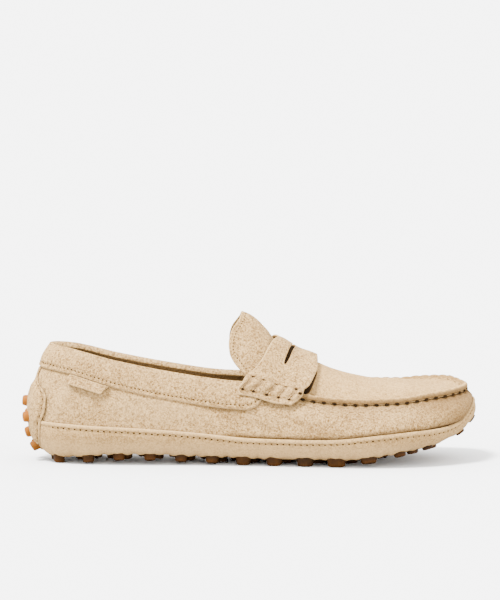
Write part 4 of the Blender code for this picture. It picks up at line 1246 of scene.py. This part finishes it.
# the arched face over the instep, across from -1 on the outer side to 1 on the inner
def instepPoint(share, across):
    share, across = np.broadcast_arrays(np.asarray(share, float), np.asarray(across, float))
    lateral, medial = faceEdge(share, "lateral"), faceEdge(share, "medial")
    t = ((across + 1) / 2)[..., None]
    base = lateral * (1 - t) + medial * t
    crown = last["deck"] + last["instepHeight"] * ridgeAt(share) - (lateral[..., 2] + medial[..., 2]) / 2
    width = np.linalg.norm(medial - lateral, axis=-1)
    crown = crown * smooth(width / (0.70 * last["halfBall"]))
    base[..., 2] += crown * (1 - np.abs(across) ** last["archPower"])
    return base


def instepNormal(share, across):
    share, across = np.broadcast_arrays(np.asarray(share, float), np.asarray(across, float))
    along = instepPoint(share + 0.004, across) - instepPoint(share - 0.004, across)
    inner, outer = np.minimum(across + 0.03, 1), np.maximum(across - 0.03, -1)
    return unit(np.cross(along, instepPoint(share, inner) - instepPoint(share, outer)))


# the tongue's face: t is 0 on its free back edge, 1 at the strap and 2 at its tucked front
def tonguePoint(across, t):
    backShare = tongueEdge(np.abs(across))
    free, front = tongue["free"], tongue["front"]
    share = backShare + (free - backShare) * np.minimum(t, 1) + (front - free) * np.maximum(t - 1, 0)
    tucked = smooth((share - free) / 0.025)
    place = across * (1 - tongue["tuckNarrows"] * tucked)
    overBand = (layer["overlay"] + 2 * layer["gap"]) * smooth((band["end"] + 0.025 - share) / 0.025)
    off = overBand * np.abs(across) ** 6 - (layer["apron"] + layer["gap"]) * tucked
    return instepPoint(share, place) + instepNormal(share, place) * off[..., None]


def buildTongue():
    across = (1 - 2 * edged(int(90 * fine), 0.075, layer["apron"]))[:, None]
    t = 2 * edged(int(80 * fine), 0.03, layer["apron"])[None, :]
    outer = tonguePoint(*np.broadcast_arrays(across, t))
    outer = outer + np.array([0, 0, 1.0]) * (0.0002 * wobble(outer, 0.02, 41))[..., None]
    shade = smooth((outer[..., 0] - tongue["shadeFrom"]) / 0.0018) * smooth((0.95 - np.abs(across)) / 0.9)
    made, _, _ = slab("tongueSuede", outer, layer["apron"], strapSuede, 0.0, 0.5 - 1.50 * shade)
    wear(made, "sand_suede", "tongue")
    # the stitch line runs round the back edge, a little inside it
    places = np.linspace(0, 1, 60)
    path, out = [], []
    for a in np.linspace(0.93, -0.93, 400):
        runs = runsOf(tonguePoint(np.full(len(places), a), places))
        rise = abs(float(tongueEdge(abs(a) + 0.01) - tongueEdge(abs(a) - 0.01)))
        slope = rise * last["length"] / (0.02 * 0.036)
        inset = tongue["stitchIn"] * math.sqrt(1 + min(slope, 1.6) ** 2)
        spot = tonguePoint(np.array([a]), np.array([float(np.interp(inset, runs, places))]))[0]
        path.append(spot)
        out.append(instepNormal(np.array([shareAt(spot[0])]), np.array([a]))[0])
    stitchRow("tongue", surfaceOf(made), np.array(path), np.array(out), tongue["pitch"], tongue["stitch"])


buildTongue()


# how much of its full height the ridge has: it rises from the apron's back
def rimGrow(share):
    return 0.15 + 0.85 * smooth((share - rim["back"]) / 0.055)


# the moccasin seam's ridge, from its outer foot over the top to the apron's face
def rimProfile(u, grow, wave):
    edge = barePoint(u, 3.0)
    out = -section(u)[1]
    high = np.maximum(rim["height"] * grow, layer["gap"] + layer["apron"]) * (1 - 0.11 * wave)
    wide = rim["width"]
    shape = [
        (-0.95, 0.0), (-0.45, 0.0), (0.10, 0.02), (0.26, 0.08), (0.32, 0.22), (0.34, 0.42), (0.33, 0.62),
        (0.26, 0.82), (0.12, 0.95), (-0.08, 1.01), (-0.28, 1.00), (-0.46, 0.93), (-0.62, 0.80), (-0.78, 0.65),
    ]
    points = []
    for a, b in shape:
        pinch = 1 - 0.34 * wave * smooth((a + 0.1) / 0.3) * smooth((0.9 - b) / 0.5)
        spot = edge.copy()
        spot[..., :2] += out * (a * wide * pinch)[..., None]
        spot[..., 2] += layer["gap"] + high * b
        points.append(spot)
    return np.stack(points, axis=1)


def buildApron():
    first = float(loopPlace(rim["back"], "lateral"))
    us = evenLoop(int(420 * fine), first, 0.5)
    share = shareOf(us)
    grow = rimGrow(share)
    wave = 0.5 + 0.5 * np.cos(2 * math.pi * seamRun(us) / rim["holePitch"])
    wave = wave**2 * smooth((share - 0.59) / 0.03)
    lateral, medial = rimProfile(us, grow, wave), rimProfile(1 - us, grow, wave)
    crowd = math.pi / 2 * 0.97  # brings the columns closer together toward the ridge
    across = np.sin(np.linspace(-1, 1, int(84 * fine)) * crowd) / math.sin(crowd)
    face = instepPoint(share[:, None], across[None, :])
    width = np.linalg.norm(face[:, 0] - face[:, -1], axis=-1)[:, None]
    inset = (1 - np.abs(across))[None, :] * width / 2
    dish = -0.0006 * bell((inset - 0.0035) / 0.0030) * smooth((share[:, None] - 0.60) / 0.05)
    soft = 0.00040 * wobble(face, 0.035, 51) + 0.00012 * wobble(face, 0.012, 52)
    pull = -0.00016 * wave[:, None] * bell(inset / 0.004)
    face[..., 2] += (dish + (soft + pull)) * smooth(inset / 0.002)
    below = face[:, ::-1].copy()
    below[..., 2] -= layer["apron"]
    points = np.concatenate([lateral, face[:, 1:-1], medial[:, ::-1], below[:, 4:-4:3]], axis=1)
    tone = np.full(points.shape[:2], 0.5)
    n, m = lateral.shape[1], face.shape[1] - 2
    # painted light and shade over the ridge's profile: darkest at its foot, dark up its outer face, lighter
    # over its top
    lipTone = np.array([0.3, 0.1, 0.00, 0.04, 0.10, 0.14, 0.17, 0.24, 0.44, 0.62, 0.60, 0.50, 0.45, 0.42])
    farTone = np.array([0.4, 0.2, 0.10, 0.14, 0.20, 0.22, 0.24, 0.32, 0.48, 0.42, 0.34, 0.28, 0.26, 0.26])
    # the back of the lip, before the ridge rises, stays plain
    risen = smooth((share - 0.575) / 0.03)[:, None]
    tone[:, :n] = 0.5 + (lipTone - 0.5) * risen
    tone[:, n + m:2 * n + m] = 0.5 + (farTone[::-1] - 0.5) * risen
    # painted shade on the face beside the ridge
    tone[:, n:n + m] -= 0.10 * bell((inset[:, 1:-1] - 0.0015) / 0.0020)
    # the shade under the strap's front edge, where it stands off
    side = np.abs(across)[None, 1:-1]
    ahead = share[:, None] - strapFront(side)
    under = np.maximum(smooth((side - 0.12) / 0.2), smooth((-0.010 - ahead) / 0.004))
    tone[:, n:n + m] -= 1.35 * smooth((0.0046 - ahead) / 0.003) * under
    # painted shade underneath
    tone[:, 2 * n + m:] = 0.4
    faces = gridFaces(*points.shape[:2], False, True)
    made = addWelded("apronSuede", points.reshape(-1, 3), faces, apronSuede, tone.reshape(-1), 4e-6)
    surface = surfaceOf(wear(made, "sand_suede", "apron"))
    # hand stitches round the foot of the ridge
    back = float(loopPlace(rim["stitchFrom"], "lateral"))
    path = evenLoop(1400, back, 1 - back)
    run = seamRun(path)
    marks = np.arange(math.ceil(run[0] / rim["holePitch"]), math.floor(run[-1] / rim["holePitch"]) + 1)
    at = np.interp(marks * rim["holePitch"], run, path)
    holes, threads = [], []
    for k, u in enumerate(at):
        spot, way, out = footOfRim(u)
        holes.append(dimple(spot, way, out, *rim["hole"]))
        inner, innerWay = settle(surface, [innerFoot(u)], [[0.0, 0.0, 1.0]])
        holes.append(dimple(inner[0], way, innerWay[0], *rim["innerHole"]))
        if k + 1 < len(at):
            spots = [footOfRim(v) for v in np.linspace(u, at[k + 1], 4)]
            a = spots[0][0] + spots[0][1] * 0.0012
            b = spots[-1][0] - spots[-1][1] * 0.0012
            outward = unit(spots[1][2] + spots[2][2])
            sag = ((spots[1][0] + spots[2][0]) / 2 - (a + b) / 2) * 0.3
            threads.append(strand(a + sag, b + sag, outward, rim["thread"], 0.00020))
    gather("moccasinStitch", threads, lipThread)
    gather("moccasinHoles", holes, hole)


# the needle holes on the ridge's other side, beside the apron's face
def innerFoot(u):
    u = np.array([float(u)])
    edge = barePoint(u, 3.0)[0]
    return edge + np.append(section(u)[1][0], 0.0) * 1.05 * rim["width"] + np.array([0, 0, 0.002])


# the ridge's outer foot, with the way along it and the way out
def footOfRim(u):
    before, edge, after = barePoint(np.array([u - 0.001, u, u + 0.001]), 3.0)
    outward = np.append(-section(np.array([u]))[1][0], 0.0)
    spot = edge + outward * 0.36 * rim["width"] + np.array([0, 0, 0.0004])
    return spot, unit(after - before), unit(outward + np.array([0, 0, rim["lean"]]))


buildApron()

print("saddle strap")


# where the strap's underside would lie at f from its back edge to its front, and p across:
# p is 0 on the ridge, 1 at the shoe's shoulder and 2 at the end of the part that hangs down
def strapUnder(f, p):
    q = np.abs(p)
    share = strapBack(q) + (strapFront(q) - strapBack(q)) * f
    stand = strap["stand"] * smooth((f - 0.50) / 0.50)
    overBand = (layer["overlay"] + layer["gap"]) * smooth((band["end"] + 0.036 - share) / 0.030)
    lip = rim["height"] * rimGrow(share)
    lift = 2 * layer["gap"] - 0.0007 * (1 - smooth(f / 0.2)) + overBand * q**6 + stand
    lift = lift + 0.75 * lip * smooth((q - 0.55) / 0.3)
    place = np.sign(p) * np.minimum(q, 0.93)
    over = instepPoint(share, place) + instepNormal(share, place) * lift[..., None]
    u = np.where(p < 0, loopPlace(share, "lateral"), loopPlace(share, "medial"))
    out = -section(u)[1]
    shoulder = barePoint(u, 3.0)
    shoulder[..., :2] += out * (overBand + 0.0012 + stand)[..., None]
    shoulder[..., 2] += np.maximum(lip, layer["apron"] + layer["gap"]) + overBand + 0.0008 + stand
    below = section(u)[3] - strapDrop(f) * np.maximum(q - 1.0, 0)
    off = 2 * layer["gap"] + swellAt(u, below) + overBand + stand + 0.0010 * smooth((2.0 - q) / 0.9)
    down = wallPoint(u, wAtHeight(u, below), off)
    q = q[..., None]
    return np.where(q < 0.95, over, np.where(q <= 1.0, shoulder, down))


# the strap's path across the shoe, from the inner side to the outer, drawn smooth
def strapGrid(fs, count):
    over, down = np.linspace(0.93, -0.93, 47), np.linspace(1.0, 0.12, 14)
    stations = np.concatenate([1 + down, [1.0], over, [-1.0], -1 - down[::-1]])
    f, p = np.broadcast_arrays(fs[None, :], stations[:, None])
    points = strapUnder(f, p)
    steps = np.linalg.norm(np.diff(points, axis=0), axis=-1)
    runs = np.vstack([np.zeros(len(fs)), np.cumsum(steps, axis=0)])
    dense = 500
    spread = strap["soften"] / (runs[-1].mean() / dense)
    reach = int(3 * spread)
    kernel = bell(np.arange(-reach, reach + 1) / spread / math.sqrt(2))
    kernel = kernel / kernel.sum()
    ends = edged(count, runs[-1].mean(), layer["strap"])
    made = np.empty((len(ends), len(fs), 3))
    for j in range(len(fs)):
        marks = np.linspace(0, runs[-1, j], dense)
        for k in range(3):
            line = np.interp(marks, runs[:, j], points[:, j, k])
            start, end = 2 * line[0] - line[reach:0:-1], 2 * line[-1] - line[-2:-reach - 2:-1]
            soft = np.convolve(np.concatenate([start, line, end]), kernel, "valid")
            made[:, j, k] = np.interp(ends * runs[-1, j], marks, soft)
    across = np.interp(ends * runs[-1].mean(), runs.mean(axis=1), stations)
    return made, across, ends * runs[-1].mean(), runs[-1].mean()


def buildStrap():
    fs = edged(int(76 * fine), 0.038, layer["strap"])
    column = int(np.argmin(np.abs(fs - strap["slitPlace"])))
    under, across, runs, total = strapGrid(fs, int(260 * fine))
    gu, gv = np.gradient(under, axis=0), np.gradient(under, axis=1)
    normal = unit(np.cross(gu, gv))
    fromEnd = np.minimum(runs, total - runs)[:, None]
    f = fs[None, :]
    # soft lumps between the threads that draw the rolled end in
    lows, highs = strap["lowPlaces"], strap["highPlaces"]
    low, high = np.interp(f, lows, strap["lowRuns"]), np.interp(f, highs, strap["highRuns"])
    t = (fromEnd - low) / (high - low)
    drawn = np.zeros((len(runs), len(fs)))
    for a, b in zip(lows, highs):
        drawn = np.maximum(drawn, bell((f - a - (b - a) * t) / 0.036))
    roll = bell(np.abs((fromEnd - (low + high) / 2) / 0.0044) ** 1.6)
    inside = smooth(f / 0.04) * smooth((1 - f) / 0.04)
    lines = (bell((fromEnd - low) / 0.0008) + bell((fromEnd - high) / 0.0008)) * drawn * inside
    relief = strap["lump"] * roll * (1.1 - 1.05 * drawn) * inside - 0.0005 * lines
    relief = relief - 0.00045 * bell((fromEnd - high - 0.0009) / 0.0011) * inside
    relief = relief + 0.00030 * wobble(under, 0.02, 61)
    # painted light and shade on the lumps: painted shade along the drawn thread lines, in the dips, just
    # beyond the upper line and below the lower one; a painted highlight on the lumps' tops; lighter along the
    # back edge
    tone = 0.5 - 0.40 * lines - 0.22 * roll * drawn * inside
    tone = tone - 0.20 * bell((fromEnd - high - 0.0007) / 0.0011) * inside + 0.08 * roll * (1 - drawn)
    tone = tone - 0.16 * bell((fromEnd - low + 0.0004) / 0.0009) * inside + 0.20 * (1 - smooth(f / 0.028))
    opening = np.clip(np.abs(across) / strap["slitReach"], 0, 1)
    half = strap["slitHalf"] * np.sqrt(np.maximum(1 - opening**10, 0))
    half[np.abs(across) >= strap["slitReach"]] = 0.0
    outer = under + normal * layer["strap"]
    ways = {"relief": relief, "tone": tone, "edge": strap["edge"], "slit": (column, half)}
    made, top, normals = slab("strapSuede", outer, layer["strap"], strapSuede, **ways)
    surface = surfaceOf(wear(made, "sand_suede", "saddle_strap"))
    threads, holes = [], []
    for run in (runs, total - runs):

        # the strap's face at a distance from its end, and a share of its width from its back edge
        def spot(distance, place):
            i, j = int(np.argmin(np.abs(run - distance))), int(np.argmin(np.abs(fs - place)))
            at, out = settle(surface, [top[i, j]], [normals[i, j]])
            return at[0], out[0], unit(gv[i, j])

        lowMarks, highMarks = [*zip(strap["lowRuns"], lows)], [*zip(strap["highRuns"], highs)]
        for distance, place in [*lowMarks, *highMarks, strap["loneHole"]]:
            at, out, way = spot(distance, place)
            holes.append(dimple(at + out * 0.0004, way, out, *strap["hole"]))
        for (lowRun, a), (highRun, b) in zip(lowMarks, highMarks):
            for shift in (-0.018, 0.018):
                threads += laidThread(spot, lowRun, a + shift, highRun, b + shift * 0.6)
    gather("strapThread", threads, thread)
    gather("strapHoles", holes, hole)


# a thread lying over a lump in short pieces
def laidThread(spot, low, lowPlace, high, highPlace):
    stops = np.linspace(0.06, 0.94, 6)
    spots = [spot(low + (high - low) * t, lowPlace + (highPlace - lowPlace) * t) for t in stops]
    threads = []
    for (a, outA, _), (b, outB, _) in zip(spots[:-1], spots[1:]):
        out = unit(outA + outB)
        threads.append(strand(a + outA * 0.0005, b + outB * 0.0005, out, strap["thread"], 0.00012, 6, 2))
    return threads


buildStrap()

print("heel tab")


def buildHeelTab():
    low, high = tab["height"][0], tab["height"][-1]
    share = low + (high - low) * edged(int(90 * fine), 0.05, layer["overlay"])[:, None]
    k = (2 * edged(int(80 * fine), 0.045, layer["overlay"]) - 1)[None, :]
    reach = tab["reach"] * tabReachAt(share)
    us = np.mod(-k * reach / loopLength, 1.0)
    share = share + 0 * us
    w = wAtHeight(us, share * last["collarHeight"])
    base = barePoint(us, w)
    line = reach * (1 - np.abs(k)) - tab["seam"]
    groove = -tab["seamDepth"] * bell(line / 0.0009)
    soft = 0.0002 * wobble(base, 0.02, 71)
    up = nubSwell(base, heelNubSites, 0.0025, 0.0005)
    outer = wallPoint(us, w, tabOff(us, share) + layer["overlay"] + 0.0002)
    # painted shade along the seam's groove
    tone = 0.5 - 0.20 * bell(line / 0.0010)
    made, _, _ = slab("heelTabSuede", outer, layer["overlay"], sandSuede, groove + soft + up, tone)
    surface = surfaceOf(wear(made, "sand_suede", "heel_tab"))
    # whip stitches down both sides, from each hole over the edge
    for name, side in (("heelTabLateral", -1), ("heelTabMedial", 1)):
        s = np.linspace(0.07, 0.66, 300)
        us = np.mod(-side * (tab["reach"] * tabReachAt(s) - tab["seam"]) / loopLength, 1.0)
        w = wAtHeight(us, s * last["collarHeight"])
        path = wallPoint(us, w, tabOff(us, s) + layer["overlay"] + 0.00005)
        at, way, outs = spaced(path, wallNormal(us, w), tab["holePitch"], 0.002)
        at, outs = settle(surface, at, outs)
        holes, threads = [], []
        for i in range(len(at)):
            holes.append(dimple(at[i], way[i], outs[i], *tab["hole"]))
            aside = unit(np.cross(way[i], outs[i])) * side
            beyond = at[i] - aside * tab["whip"] + way[i] * 0.0012 - outs[i] * 0.0009
            threads.append(strand(at[i], beyond, outs[i], tab["thread"], 0.00055))
        gather(name + "Stitch", threads, thread)
        gather(name + "Holes", holes, hole)


buildHeelTab()

print("side tag")
tag = {
    "place": 0.090,
    "width": 0.0255,
    "drop": 0.0062,
    "flare": 0.0022,
    "corner": 0.0034,
    "wall": 0.0012,
    "bow": 0.0008,
    "backSlant": -0.0012,
    "frontSlant": -0.0038,
}


def buildTag():
    t = edged(int(60 * fine), tag["width"], tag["wall"])[:, None]
    d = edged(int(24 * fine), tag["drop"], tag["wall"])[None, :]
    slant = (tag["backSlant"] + (tag["frontSlant"] - tag["backSlant"]) * t) * d
    us = loopPlace(tag["place"] + (tag["width"] * t + slant) / last["length"], "lateral")
    # the lower corners are round
    fromSide = np.clip(np.minimum(1 - t, t * 3) * tag["width"] / tag["corner"], 0, 1)
    cut = tag["corner"] / tag["drop"] * (1 - np.sqrt(1 - np.square(1 - fromSide)))
    depth = d * (1 - 0.9 * cut)
    top = section(us)[3] - bandWidth(us) - 2 * layer["gap"] + 0.0006
    w = wAtHeight(us, top - tag["drop"] * depth)
    bow = tag["bow"] * np.sin(math.pi * t) * depth
    off = layer["gap"] + tag["wall"] + tag["flare"] * depth**1.5 + bow
    outer = wallPoint(us, w, off)[:, ::-1]
    made, _, _ = slab("sideTagSuede", outer, tag["wall"], sandSuede, 0.00010 * wobble(outer, 0.01, 81))
    wear(made, "sand_suede", "side_tag")


buildTag()

print("stage")
stage = {
    "floor": (0.530, 0.530, 0.530),
    "floorSize": 30.0,
    "sky": 6.4,
    "sunHeight": 60.0,
    "sunTurn": -45.0,
    "sunSpread": 14.0,
    "distance": 1.55,
    "elevation": 6.5,
    "pixelsPerMetre": 1587.5,
    "aim": (0.108, 0.0, 0.040),
    "aimPixel": (251.75, 396.2),
    "picture": (500, 600),
    "sensor": 36.0,
}


# an even white room, and one wide soft light from the upper left that lifts the floor to its tone
def buildStage():
    finish = Finish("paleFloor", Roughness=1.0, Specular_IOR_Level=0.0, Base_Color=(*stage["floor"], 1.0))
    size = stage["floorSize"]
    verts = [(-size, -size, 0), (size, -size, 0), (size, size, 0), (-size, size, 0)]
    addMesh("floor", verts, [[0, 1, 2, 3]], finish.material)
    world = bpy.data.worlds.new("studio")
    world.use_nodes = True
    background = world.node_tree.nodes["Background"]
    background.inputs["Color"].default_value = (1.0, 1.0, 1.0, 1.0)
    background.inputs["Strength"].default_value = stage["sky"]
    bpy.context.scene.world = world
    sun = bpy.data.lights.new("softSun", "SUN")
    height = math.radians(stage["sunHeight"])
    sun.energy = math.pi * stage["sky"] * (1 / stage["floor"][0] - 1) / math.sin(height)
    sun.angle = math.radians(stage["sunSpread"])
    obj = bpy.data.objects.new("softSun", sun)
    obj.rotation_euler = (math.pi / 2 - height, 0, math.radians(stage["sunTurn"]))
    bpy.context.scene.collection.objects.link(obj)


# the fitted camera: it looks level along +Y, then down by its pitch
def buildCamera():
    focal = stage["pixelsPerMetre"] * stage["distance"]
    camera = bpy.data.cameras.new("camera")
    camera.sensor_fit, camera.sensor_width = "HORIZONTAL", stage["sensor"]
    camera.lens = stage["sensor"] * focal / stage["picture"][0]
    camera.clip_start, camera.clip_end = 0.05, 50.0
    elevation = math.radians(stage["elevation"])
    obj = bpy.data.objects.new("camera", camera)
    away = Vector((0, -math.cos(elevation), math.sin(elevation))) * stage["distance"]
    obj.location = Vector(stage["aim"]) + away
    pitch = elevation - math.atan((stage["aimPixel"][1] - stage["picture"][1] / 2) / focal)
    turn = math.atan((stage["aimPixel"][0] - stage["picture"][0] / 2) / focal)
    obj.rotation_euler = (math.pi / 2 - pitch, 0, turn)
    bpy.context.scene.collection.objects.link(obj)
    bpy.context.scene.camera = obj


buildStage()
buildCamera()

print("done")
